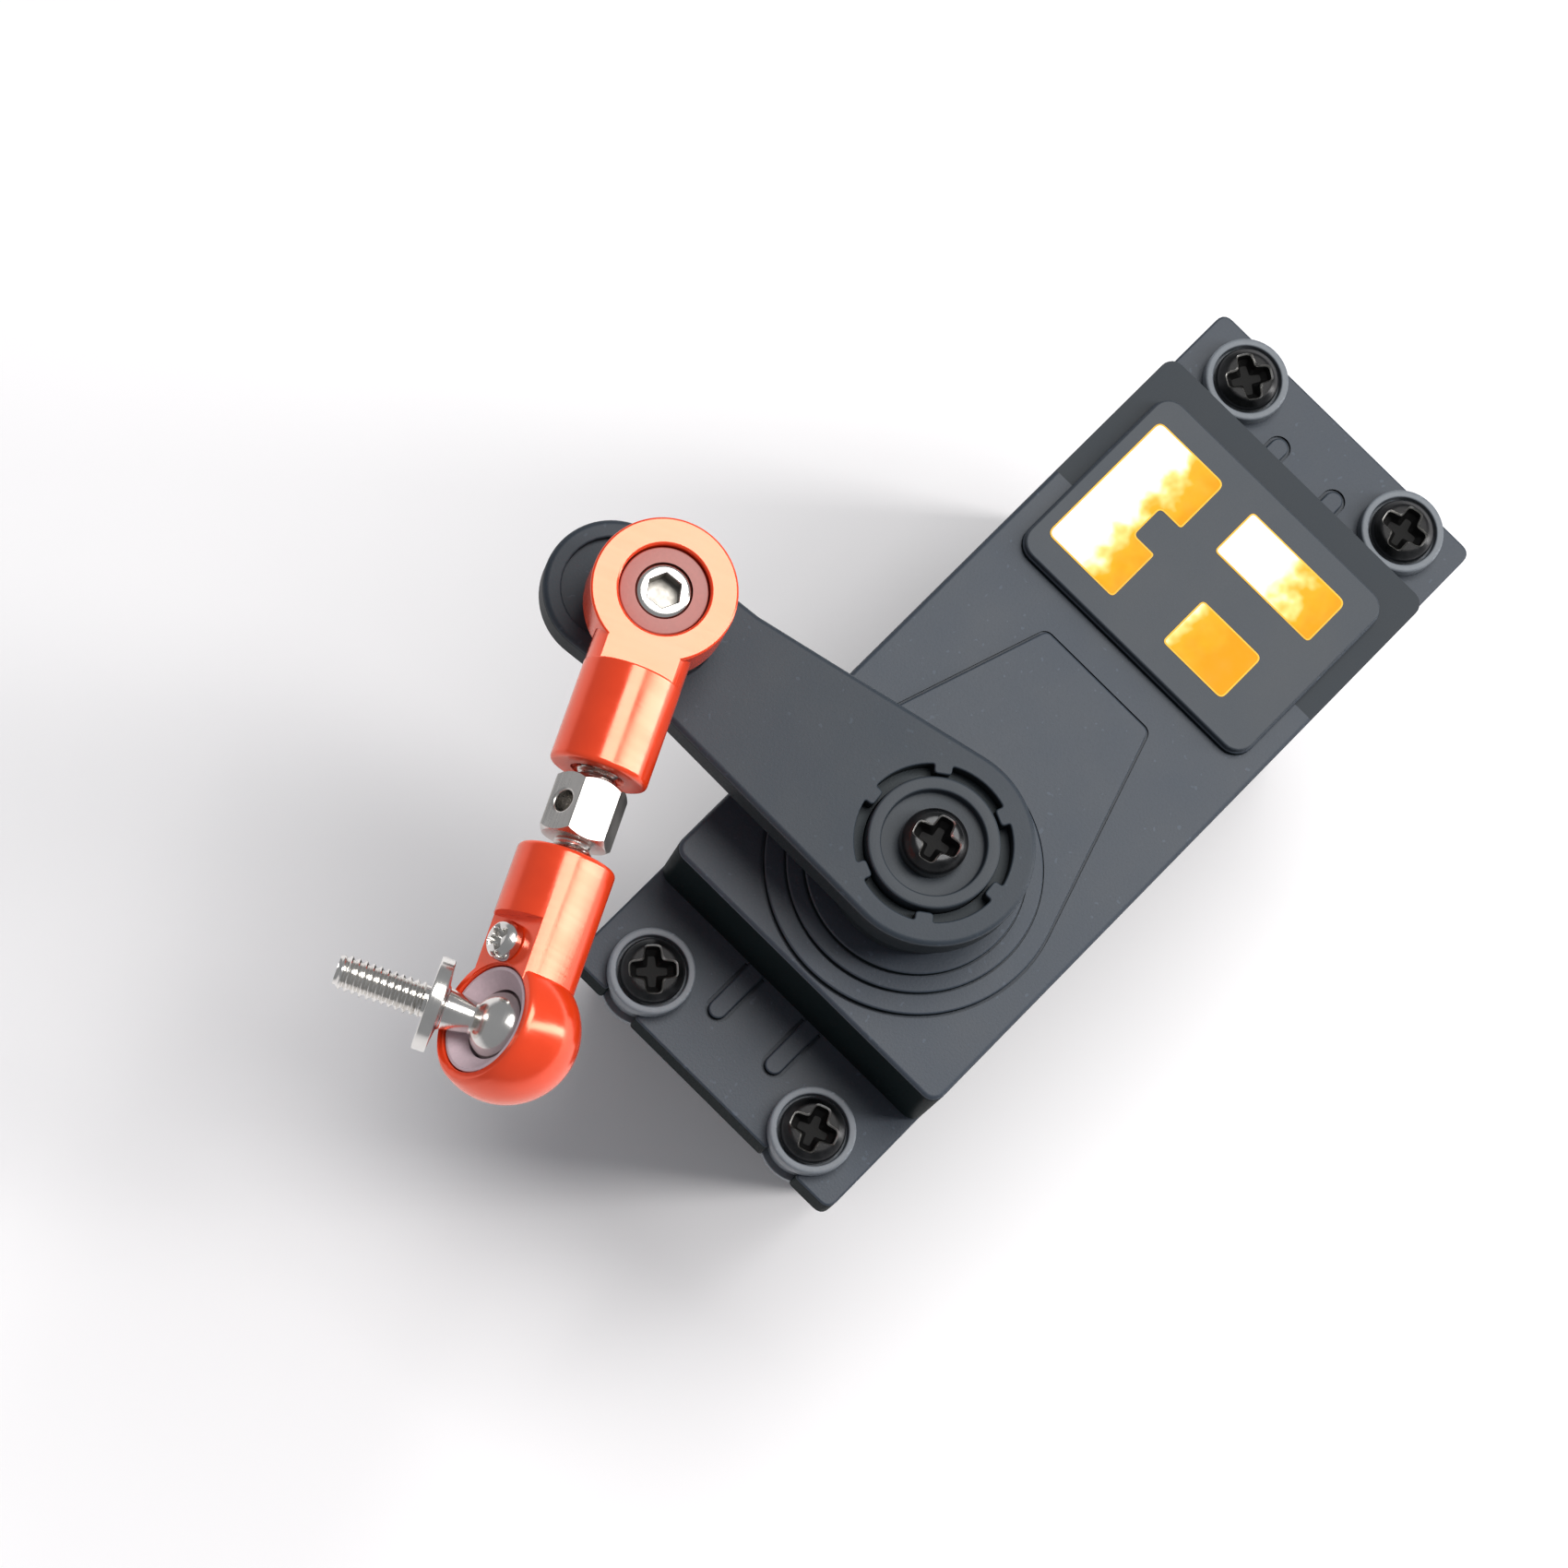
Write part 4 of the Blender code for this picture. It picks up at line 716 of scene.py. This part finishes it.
def upper_case():
    case = piece(
        "upper_case_shell",
        prism(case_outline(), UPPER_FOOT, CASE_TOP, 0.3, 0.12),
        CASE_BLACK,
        "case",
        ["upper_case"],
    )
    sunk = CASE_TOP - 0.5
    pad = box(PAD_X, (-PAD_HALF_W, PAD_HALF_W), 1.2)
    join(case, prism(pad, sunk, PAD_TOP, 0.12))
    floor = CASE_TOP
    for number, (radius, rise, groove) in enumerate(BOSS):
        outline = arc(radius, 96) if number else panel_outline()
        cut(case, prism(inset(outline, -groove), floor - GROOVE_DEPTH, 40.0))
        join(case, prism(outline, sunk, CASE_TOP + rise, 0.12))
        floor = CASE_TOP + rise
    gap = 0.02
    near = [(x, y) for x, y in inset(pad, -gap) if x > MARGIN_X]
    near = [p for p in near if p[1] > 0][::-1] + [p for p in near if p[1] < 0][::-1]
    inner_y = PAD_HALF_W + gap
    margin = [(MARGIN_X, inner_y)] + near + [(MARGIN_X, -inner_y)]
    margin += [(MARGIN_X, -12.0), (34.0, -12.0), (34.0, 12.0), (MARGIN_X, 12.0)]
    cut(
        case,
        prism(cavity_outline(), 28.0, CHAMBER_TOP),
        prism(arc(4.05, 48), CHAMBER_TOP - 1, 39.0),
        prism(arc(AXLE_BORE_R, 24, (IDLER_X, 0.0)), CHAMBER_TOP - 1, CHAMBER_TOP + 0.8),
        *[prism(arc(POST_BORE_R, 16, p), 28.3, 33.6) for p in screw_places()],
        prism(margin, CASE_TOP - MARGIN_DROP, 38.0),
    )
    # Side faces get painted shade.
    paint_wall_shade(case, CASE_WALL_SHADE)
    # The flat strip round the label's pad takes the darker finish.
    case.data.materials.append(CASE_MARGIN_DARKER)
    for face in case.data.polygons:
        level = abs(face.center.z / MM - (CASE_TOP - MARGIN_DROP)) < 0.01
        if level and face.normal.z > 0.9 and face.center.x / MM > MARGIN_X - 0.1:
            face.material_index = 2


def label():
    x, half = (PAD_X[0] + 0.1, PAD_X[1] - 0.1), PAD_HALF_W - 0.1
    plate = box(x, (-half, half), 1.1)
    piece(
        "label_plate",
        prism(plate, *LABEL_Z, 0.12, 0.05),
        LABEL_FILM,
        "case",
        ["label"],
    )
    top = LABEL_Z[1]
    blocks = {
        "label_block_a": (
            (1.2, 7.6),
            [(18.9, 2.7, 0.3), (22.4, 2.7, 0.2), (22.4, 4.3, 0.3), (24.6, 4.3, 0.3)]
            + [(24.6, 2.7, 0.2), (28.3, 2.7, 0.5), (28.3, 7.8, 0.5), (18.9, 7.8, 0.5)],
        ),
        "label_block_b": (
            (-8.2, -0.6),
            [(25.05, -6.8, 0.3), (28.3, -6.8, 0.5), (28.3, 0.5, 0.3), (25.05, 0.5, 0.3)],
        ),
        "label_block_c": (
            (-6.0, 3.0),
            [(19.1, -5.6, 0.4), (22.5, -5.6, 0.4), (22.5, -1.0, 0.3), (19.1, -1.0, 0.3)],
        ),
    }
    for name, (fade, corners) in blocks.items():
        outline = soft(corners)
        ink = print_blocks(name + "_ink", *fade)
        rim = prism(outline, top - 0.02, top + 0.02)
        fill = prism(inset(outline, 0.09), top - 0.02, top + 0.03)
        piece(name + "_rim", rim, INK_RIM, "case")
        piece(name, fill, ink, "case")


def ear_outline():
    """Motor end's ear, with a keyhole from the outer edge at each screw; counter-clockwise."""
    x0, x1, half = CASE_X[1] - 1.2, CASE_X[1] + EAR_OUT, HALF_W - 0.01
    cx = CASE_MID_X + EAR_HOLE_X
    opening = math.asin(EAR_MOUTH / EAR_HOLE_R)
    made = [(x0, -half), (x1, -half, 0.7)]
    for cy in (-EAR_HOLE_Y, EAR_HOLE_Y):
        made.append((x1, cy - EAR_MOUTH, 0.35))
        made += arc(EAR_HOLE_R, 41, (cx, cy), -opening, -(TAU - 2 * opening))
        made.append((x1, cy + EAR_MOUTH, 0.35))
    made += [(x1, half, 0.7), (x0, half)]
    return soft(made)


def mirrored(outline):
    return [(2 * CASE_MID_X - x, y) for x, y in outline][::-1]


def rib_outline(y, wall, half, reach):
    """Round-ended strip along X, its far end at reach."""
    tip = arc(half, 13, (reach - half, y), -TAU / 4, TAU / 2)
    return tip + [(wall, y + half), (wall, y - half)]


def middle_case():
    case = piece(
        "middle_case_shell",
        prism(case_outline(), *MIDDLE_Z, 0.12, 0.12),
        CASE_BLACK,
        "case",
        ["middle_case"],
    )
    wall, tip = CASE_X[1], CASE_X[1] + 3.6
    ribs = [rib_outline(y, wall - 0.6, 0.55, tip) for y in (-2.2, 2.2)]
    grooves = [rib_outline(y, wall + 0.05, 0.74, tip + 0.19) for y in (-2.2, 2.2)]
    land = [(wall - 0.6, -3.2), (wall + 6.2, -3.2, 0.3), (wall + 6.2, 3.2, 0.3), (wall - 0.6, 3.2)]
    for side in (lambda outline: outline, mirrored):
        ear = guide(prism(side(ear_outline()), *EAR_Z, 0.15, 0.15))
        combine(ear, "DIFFERENCE", *[prism(side(line), EAR_Z[1] - 0.2, 30.0) for line in grooves])
        combine(ear, "UNION", *[prism(side(line), 28.4, 29.19, 0.12) for line in ribs])
        combine(ear, "UNION", prism(side(soft(land)), 26.3, 26.8, 0.0, 0.08))
        combine(case, "UNION", ear)
    cut(
        case,
        prism(cavity_outline(), 7.0, DECK_Z[0]),
        prism(cavity_outline(), DECK_Z[1], 30.0),
        prism(arc(3.1, 32), 24.0, 28.0),
        prism(arc(3.3, 32, (MOTOR_X, 0.0)), 24.0, 28.0),
        prism(arc(AXLE_BORE_R, 24, (IDLER_X, 0.0)), 26.2, 28.0),
        *[prism(arc(SCREW_BORE_R, 16, p), 7.3, 30.0) for p in screw_places()],
    )
    # Side faces get painted shade.
    paint_wall_shade(case, CASE_WALL_SHADE)


def lower_case():
    case = piece(
        "lower_case_shell",
        prism(case_outline(), *LOWER_Z, 0.12, 0.45),
        CASE_BLACK,
        "case",
        ["lower_case"],
    )

    sink = [(0, -1), (2.1, -1), (1.75, 0.35), (1.75, 1.6), (0, 1.6)]

    def inlet(bm):
        loft(bm, [[(x, y, z) for y, z in box((-2.6, 2.6), (2.4, 5.2), 0.3, 4)] for x in (-10, -6)])

    cut(
        case,
        prism(cavity_outline(), WALL, 9.0),
        inlet,
        *[prism(arc(SCREW_BORE_R, 16, p), 0.8, 9.0) for p in screw_places()],
        *[turned(sink, 40, p) for p in screw_places()],
    )
    # Side faces get painted shade.
    paint_wall_shade(case, CASE_WALL_SHADE)


def cable_inlet():
    low, high = 2.5, 5.1
    at = Matrix.Translation((CASE_X[0] * MM, 0.0, (low + high) / 2 * MM)) @ ALONG_X
    half = (high - low) / 2
    # The bush's rubber carries painted sheen in its colour.
    inlet = piece(
        "cable_inlet_bush",
        prism(box((-2.5, 2.5), (-half, half), 0.35, 5), -0.6, 2.6, 0.0, 0.25),
        RUBBER_PAINTED_SHEEN,
        "case",
        ["cable_inlet"],
        at,
    )
    flange = box((-3.4, 3.4), (-half - 0.6, half + 0.5), 0.4, 5)
    join(inlet, prism(flange, WALL + 0.1, 2.6, 0.15, 0.15))
    cut(inlet, prism(box((-1.9, 1.9), (-0.65, 0.65), 0.6), -2, 4))


def screw(
    name,
    at,
    body,
    node,
    finish,
    head,
    shank,
    cross,
    pitch=0.8,
    rim_finish=None,
    face=None,
):
    """Pan-head screw seated on height 0: head (radius, height), shank (radius, length)."""
    (head_r, head_h), (shank_r, length) = head, shank
    profile = [
        (0.0, -0.3),
        (shank_r * 0.8, -0.3),
        (shank_r * 0.8, 0.0),
        (head_r, 0.0, 0.08),
        (head_r, head_h * 0.62, head_h * 0.5),
        (head_r * 0.74, head_h, head_h * 0.35),
        (0.0, head_h),
    ]
    made = piece(name, turned(profile, 48), finish, body, [node], at)
    reach, half, depth = cross
    cut(made, lambda bm: cross_pit(bm, reach, half, head_h - depth, head_h))
    # Head faces: index 1 is the brighter recess rim, index 2 painted shade deep in the recess,
    # index 3 the flat top, with painted shade when face is given.
    if rim_finish:
        made.data.materials.append(rim_finish)
        made.data.materials.append(RECESS_SHADE)
        made.data.materials.append(face or finish)
        for side in made.data.polygons:
            x, y, z = side.center / MM
            inward = side.normal.x * x + side.normal.y * y < 0.02
            inside = math.hypot(x, y) < reach * 1.12 and z < head_h - 0.02 and inward
            if inside and z > head_h - 0.2 and side.normal.z < 0.92:
                side.material_index = 1
            elif inside and z <= head_h - 0.2:
                side.material_index = 2
            elif z > head_h - 0.2 and side.normal.z > 0.92:
                side.material_index = 3
    core_r = shank_r * 0.72
    append(made, lambda bm: thread(bm, core_r, shank_r, -length, -0.1, pitch, 26, 1.2, 1.4))
    return made


def placed(x, y, z, turn=0.0):
    return Matrix.Translation((x * MM, y * MM, z * MM)) @ Matrix.Rotation(turn, 4, "Z")


def fixings():
    grommet = [
        (1.15, 25.85, 0.1),
        (2.45, 25.85, 0.15),
        (2.45, 26.45, 0.1),
        (2.08, 26.45),
        (2.08, 29.04),
        (2.45, 29.04, 0.1),
        (2.45, 30.1, 0.16),
        (2.02, 30.1, 0.1),
        (2.02, 29.45, 0.1),
        (1.15, 29.45),
    ]
    places = [(CASE_MID_X + sx * EAR_HOLE_X, sy * EAR_HOLE_Y) for sx in (-1, 1) for sy in (-1, 1)]
    for number, ((x, y), turn) in enumerate(zip(places, EAR_TURNS), 1):
        # The grommets' rubber carries painted sheen in its colour.
        piece(
            f"grommet_{number}",
            turned(grommet, 56),
            RUBBER_PAINTED_SHEEN,
            "case",
            [f"ear_grommet_{number}"],
            placed(x, y, 0.0),
        )
        at = placed(x, y, EAR_SCREW_SEAT, turn)
        # The heads' flat tops get painted shade.
        screw(
            f"tray_screw_{number}",
            at,
            "case",
            f"ear_screw_{number}",
            BLACK_STEEL,
            head=(1.85, 1.15),
            shank=(0.98, 10.0),
            cross=(1.34, 0.42, 0.9),
            rim_finish=BRIGHT_RIM,
            face=OXIDE_FACE_SHADE,
        )
    over = Matrix.Rotation(math.pi, 4, "X")
    for number, (x, y) in enumerate(screw_places(), 1):
        screw(
            f"cover_screw_{number}",
            placed(x, y, 1.5, 0.4 * number) @ over,
            "case",
            f"case_screw_{number}",
            BLACK_STEEL,
            head=(1.6, 1.15),
            shank=(0.95, 31.4),
            cross=(1.0, 0.28, 0.6),
            rim_finish=BRIGHT_RIM,
        )


# ----------------------------------------------------------------------------- arm


def arm_outline():
    touch = math.atan2(END_R, WAIST_X) + math.acos(HUB_R / math.hypot(WAIST_X, END_R))
    around = arc(HUB_R, 81, start=touch, sweep=TAU - 2 * touch)
    tip = arc(END_R, 41, (ARM_LENGTH, 0.0), -TAU / 4, TAU / 2)
    return around + [(WAIST_X, -END_R)] + tip + [(WAIST_X, END_R)]


def pocket_outline():
    """Round pocket in the hub with six round-nosed teeth pointing inwards."""
    radius, tip, half = 4.35, 3.82, 0.5
    edge = math.asin(half / radius)
    made = []
    for k in range(6):
        c, s = math.cos(k * TAU / 6), math.sin(k * TAU / 6)
        for y in (-half, half):
            made.append((tip * c - y * s, tip * s + y * c, 0.28))
        around = arc(radius, 11, start=k * TAU / 6 + edge, sweep=TAU / 6 - 2 * edge)
        made += [(*around[0], 0.12)] + around[1:-1] + [(*around[-1], 0.12)]
    return soft(made, steps=4)


def servo_arm():
    arm = piece(
        "servo_arm_body",
        prism(arm_outline(), *ARM_Z, 0.35, 0.2, 5),
        ARM_BLACK,
        "output",
        ["servo_arm"],
        ARM,
    )
    join(arm, prism(arc(5.2, 96), 37.5, 40.8, 0.0, 0.2))
    top = ARM_Z[1]
    cut(
        arm,
        lambda bm: pit(bm, stadium(18.6, ARM_LENGTH, 2.85), top - 0.5, top),
        lambda bm: pit(bm, pocket_outline(), top - 1.1, top, 0.1),
        prism(arc(3.71, 72), 36.0, 44.0),
        prism(arc(THREAD_R + 0.1, 32, (STUD_AT, 0.0)), 39.0, 44.0),
    )
    # Side faces get painted shade.
    paint_wall_shade(arm, ARM_WALL_SHADE)
    # The hub pocket's floor gets painted shade.
    arm.data.materials.append(ARM_POCKET_SHADE)
    for face in arm.data.polygons:
        x, y, z = face.center / MM
        if math.hypot(x, y) < 4.5 and abs(z - top + 1.1) < 0.01:
            face.material_index = 2


def spline(inner, outer, teeth=25):
    pitch = TAU / teeth
    points = []
    for k in range(teeth):
        points += arc(inner, 1, start=(k - 0.5) * pitch)
        points += arc(outer, 1, start=k * pitch)
    return points


def hub():
    dish_r, dish_floor = INSERT_DISH
    profile = [
        (1.15, INSERT_Z[0]),
        (INSERT_R, INSERT_Z[0], 0.1),
        (INSERT_R, INSERT_Z[1], 0.16),
        (dish_r, INSERT_Z[1], 0.12),
        (dish_r, dish_floor, 0.12),
        (1.15, dish_floor, 0.1),
    ]
    made = piece(
        "hub_insert_ring",
        turned(profile, 96),
        INSERT_BLACK,
        "output",
        ["hub_insert"],
    )
    cut(made, prism(spline(2.74, 3.07), 36.0, 41.05))
    screw(
        "arm_fixing_screw",
        placed(0, 0, 41.98, 0.25),
        "output",
        "arm_screw",
        BLACK_STEEL,
        head=(1.85, 1.6),
        shank=(0.98, 6.0),
        cross=(1.34, 0.42, 1.0),
        rim_finish=BRIGHT_RIM,
    )


# ---------------------------------------------------------------------------- link


def upper_end():
    end = piece(
        "upper_rod_end_body",
        prism(arc(HEAD_R, 96), -HEAD_HALF_T, HEAD_HALF_T, 0.14, 0.14),
        RED,
        "link_upper",
        ["upper_rod_end"],
        SWING,
    )
    edge = math.asin((HEAD_HALF_T - 0.01) / ROD_R)
    neck = arc(ROD_R - 0.02, 25, start=-edge, sweep=2 * edge)
    neck += [(-y, -z) for y, z in neck]
    start, stop = UPPER_TUBE
    tube = [(0, start), (ROD_R, start, 0.12), (ROD_R, stop, 0.3), (1.5, stop, 0.1)]
    tube += [(1.25, 9.9), (0, 9.9)]
    join(
        end,
        lambda bm: loft(bm, [[(x, y, z) for y, z in neck] for x in (1.5, 5.1)]),
        prism([(1.2, -1.98), (4.72, -1.98), (4.72, 1.98), (1.2, 1.98)], -HEAD_HALF_T, HEAD_HALF_T),
        lying(turned(tube, 72)),
    )
    cut(
        end,
        lambda bm: bore(bm, arc(2.45, 72), -HEAD_HALF_T, HEAD_HALF_T, 0.16),
        lying(prism(arc(SHANK_R + 0.12, 32), 5.6, 12.3)),
    )
    seat = meridian(SOCKET_R, -1.45, 1.45, 16) + [(2.39, 1.45, 0.08), (2.39, -1.45, 0.08)]
    liner("upper_liner", seat, LINER_DARK, "link_upper", SWING)


def liner(node, profile, finish, body, at):
    piece(node + "_ring", turned(profile, 72), finish, body, [node], at)


def turnbuckle():
    near, far = NUT_X
    low, high = THREAD_ENDS
    hexagon = soft([(*p, 0.12) for p in arc(NUT_ACROSS / math.sqrt(3), 6)], steps=3)
    made = piece(
        "turnbuckle_body",
        lying(prism(hexagon, near, far)),
        STEEL,
        "link_turnbuckle",
        ["turnbuckle"],
        SWING @ Matrix.Rotation(NUT_ROLL, 4, "X"),
    )
    bevelled = [(0, near), (1.78, near), (2.12, near + 0.3)]
    bevelled += [(2.12, far - 0.3), (1.78, far), (0, far)]
    combine(made, "INTERSECT", lying(turned(bevelled, 72)))
    cut(made, lambda bm: bore(bm, arc(0.6, 32, (12.5, 0.0)), -1.8, 1.8, 0.15))
    for first, last in ((low, near + 0.05), (far - 0.05, high)):
        append(made, lying(lambda bm: thread(bm, SHANK_CORE_R, SHANK_R, first, last, SHANK_PITCH)))


def lower_end():
    cup = [(0.0, -CUP_R)] + meridian(CUP_R, -CUP_R * 0.995, CUP_FACE - 0.12, 28)
    cup += [(3.42, CUP_FACE, 0.05), (0.0, CUP_FACE)]
    end = piece(
        "lower_rod_end_body",
        turned(cup, 96),
        RED,
        "link_lower",
        ["lower_rod_end"],
        LOWER,
    )
    start = LOWER_TUBE_START - LINK_LENGTH
    tube = [(0, start + 0.4), (1.25, start + 0.4), (1.5, start, 0.1)]
    tube += [(ROD_R, start, 0.3), (ROD_R, -1.2), (0, -1.2)]
    join(end, lying(turned(tube, 72)))
    flat = [(CLAMP_X - 1.5, -4), (-2.0, -4), (-2.0, 4), (CLAMP_X - 1.5, 4)]
    cut(
        end,
        lambda bm: pit(bm, flat, CLAMP_FLAT, 6.0),
        lambda bm: pit(bm, arc(3.0, 72), -2.3, CUP_FACE, 0.12),
        lying(prism(arc(SHANK_R + 0.1, 32), start - 2, CLAMP_X - 0.9)),
        prism(arc(0.66, 24, (CLAMP_X, 0.0)), -1.3, 4.0),
    )
    funnel = meridian(SOCKET_R, -1.85, 0.85, 20)
    funnel += [(2.75, 1.58, 0.06), (2.94, 1.58, 0.06), (2.94, -1.85, 0.1)]
    liner("lower_liner", funnel, LINER_PALE, "link_lower", LOWER)
    screw(
        "clamp_fixing_screw",
        LOWER @ placed(CLAMP_X, 0.0, CLAMP_FLAT + 0.03, 0.5),
        "link_lower",
        "clamp_screw",
        STEEL_Z,
        head=(1.1, 0.85),
        shank=(0.58, 2.8),
        cross=(0.72, 0.2, 0.5),
        pitch=0.4,
    )


def studs():
    seat = ARM_Z[1] - 0.45 - BALL_Z
    foot = ARM_Z[0] - 2.0 - BALL_Z
    profile = [(0.0, seat - 0.2), (0.85, seat - 0.2), (0.85, seat)]
    profile += [(2.3, seat, 0.08), (2.3, seat + 0.9, 0.1), (1.05, seat + 1.1, 0.2)]
    profile += meridian(BALL_R, -1.7, 1.44, 24) + [(1.25, 1.48), (0.0, 1.48)]
    made = piece(
        "arm_ball",
        turned(profile, 72),
        STEEL_Z,
        "output",
        ["arm_ball_stud"],
        STUD,
    )
    cut(made, lambda bm: pit(bm, arc(0.98, 6), 0.4, 1.48, 0.07))
    # Inside of the hex socket: painted shade.
    made.data.materials.append(SOCKET_SHADE)
    for face in made.data.polygons:
        x, y, z = face.center / MM
        if math.hypot(x, y) < 0.95 and 0.3 < z < 1.42:
            face.material_index = 1
    append(made, lambda bm: thread(bm, STUD_CORE_R, THREAD_R, foot, seat + 0.05, STUD_PITCH))
    top = ARM_Z[0] - 0.05 - BALL_Z
    nut = piece(
        "arm_nut",
        prism(arc(2.3, 6), top - 1.6, top, 0.1, 0.1),
        STEEL_Z,
        "output",
        ["arm_stud_nut"],
        STUD,
    )
    cut(nut, prism(arc(THREAD_R + 0.06, 32), top - 3, top + 1))
    near, far, tip = 3.65, 4.4, 9.35
    profile = [(0.0, -1.85)] + meridian(BALL_R, -1.85, 1.78, 30)
    profile += [
        (0.86, 1.9, 0.1),
        (1.16, near - 0.15, 0.2),
        (2.55, near, 0.08),
        (2.55, far, 0.1),
        (0.85, far),
        (0.85, far + 0.4),
        (0.0, far + 0.4),
    ]
    made = piece(
        "link_ball",
        turned(profile, 72),
        STEEL_Z,
        "link_stud",
        ["lower_ball_stud"],
        LOWER @ Matrix.Rotation(STUD_TILT, 4, "X"),
    )
    append(made, lambda bm: thread(bm, STUD_CORE_R, THREAD_R, far - 0.05, tip, STUD_PITCH))


# --------------------------------------------------------------------------- stage


def area(name, at, target, size, power, colour):
    light = bpy.data.lights.new(name, "AREA")
    light.shape = "RECTANGLE"
    light.size, light.size_y = size
    light.energy = power
    light.color = colour
    made = bpy.data.objects.new(name, light)
    bpy.context.scene.collection.objects.link(made)
    made.location = at
    aim = Vector(target) - Vector(at)
    made.rotation_euler = aim.to_track_quat("-Z", "Y").to_euler()


def stage():
    sheet = box((-2500, 2500), (-2500, 2500), 200)
    mesh = mesh_of(lambda bm: loft(bm, [[(x, y, z) for x, y in sheet] for z in (-20, 0)]))
    floor = bpy.data.objects.new("floor", mesh)
    bpy.context.scene.collection.objects.link(floor)
    t = Tree("floor_paper", specular=0.2)
    stops = (0.3, (0.925, 0.915, 0.93)), (0.7, (0.945, 0.935, 0.95))
    t.link(t.ramp(t.noise(30, 3.0), *stops), "Base Color")
    t.shader.inputs["Roughness"].default_value = 0.8
    floor.data.materials.append(t.material)
    world = bpy.data.worlds.new("studio")
    world.use_nodes = True
    background = world.node_tree.nodes["Background"]
    background.inputs["Color"].default_value = (0.93, 0.96, 1.0, 1.0)
    background.inputs["Strength"].default_value = 0.32
    bpy.context.scene.world = world
    area("softbox", (0.20, 0.035, 0.60), (0.0, 0.0, 0.03), (0.30, 0.30), 2.3, (1.0, 0.99, 0.97))
    warm = (1.0, 0.98, 0.96)
    area("side_panel", (0.235, -0.265, 0.298), (-0.013, 0.014, 0.047), (0.08, 0.70), 1.8, warm)
    view = bpy.context.scene.view_settings
    view.view_transform = "Standard"


def camera():
    data = bpy.data.cameras.new("camera")
    data.lens = 127.06
    data.sensor_width = 36.0
    data.clip_start, data.clip_end = 0.01, 20.0
    made = bpy.data.objects.new("camera", data)
    bpy.context.scene.collection.objects.link(made)
    right, up, back = (
        (0.68688, -0.71106, 0.15027),
        (0.68038, 0.70183, 0.21100),
        (-0.25550, -0.04269, 0.96587),
    )
    place = Matrix((right, up, back)).transposed().to_4x4()
    place.translation = (-0.079387, -0.004756, 0.329248)
    made.matrix_world = place
    bpy.context.scene.camera = made


dress_inner_nodes()
upper_case()
label()
middle_case()
lower_case()
cable_inlet()
fixings()
servo_arm()
hub()
upper_end()
turnbuckle()
lower_end()
studs()
stage()
camera()
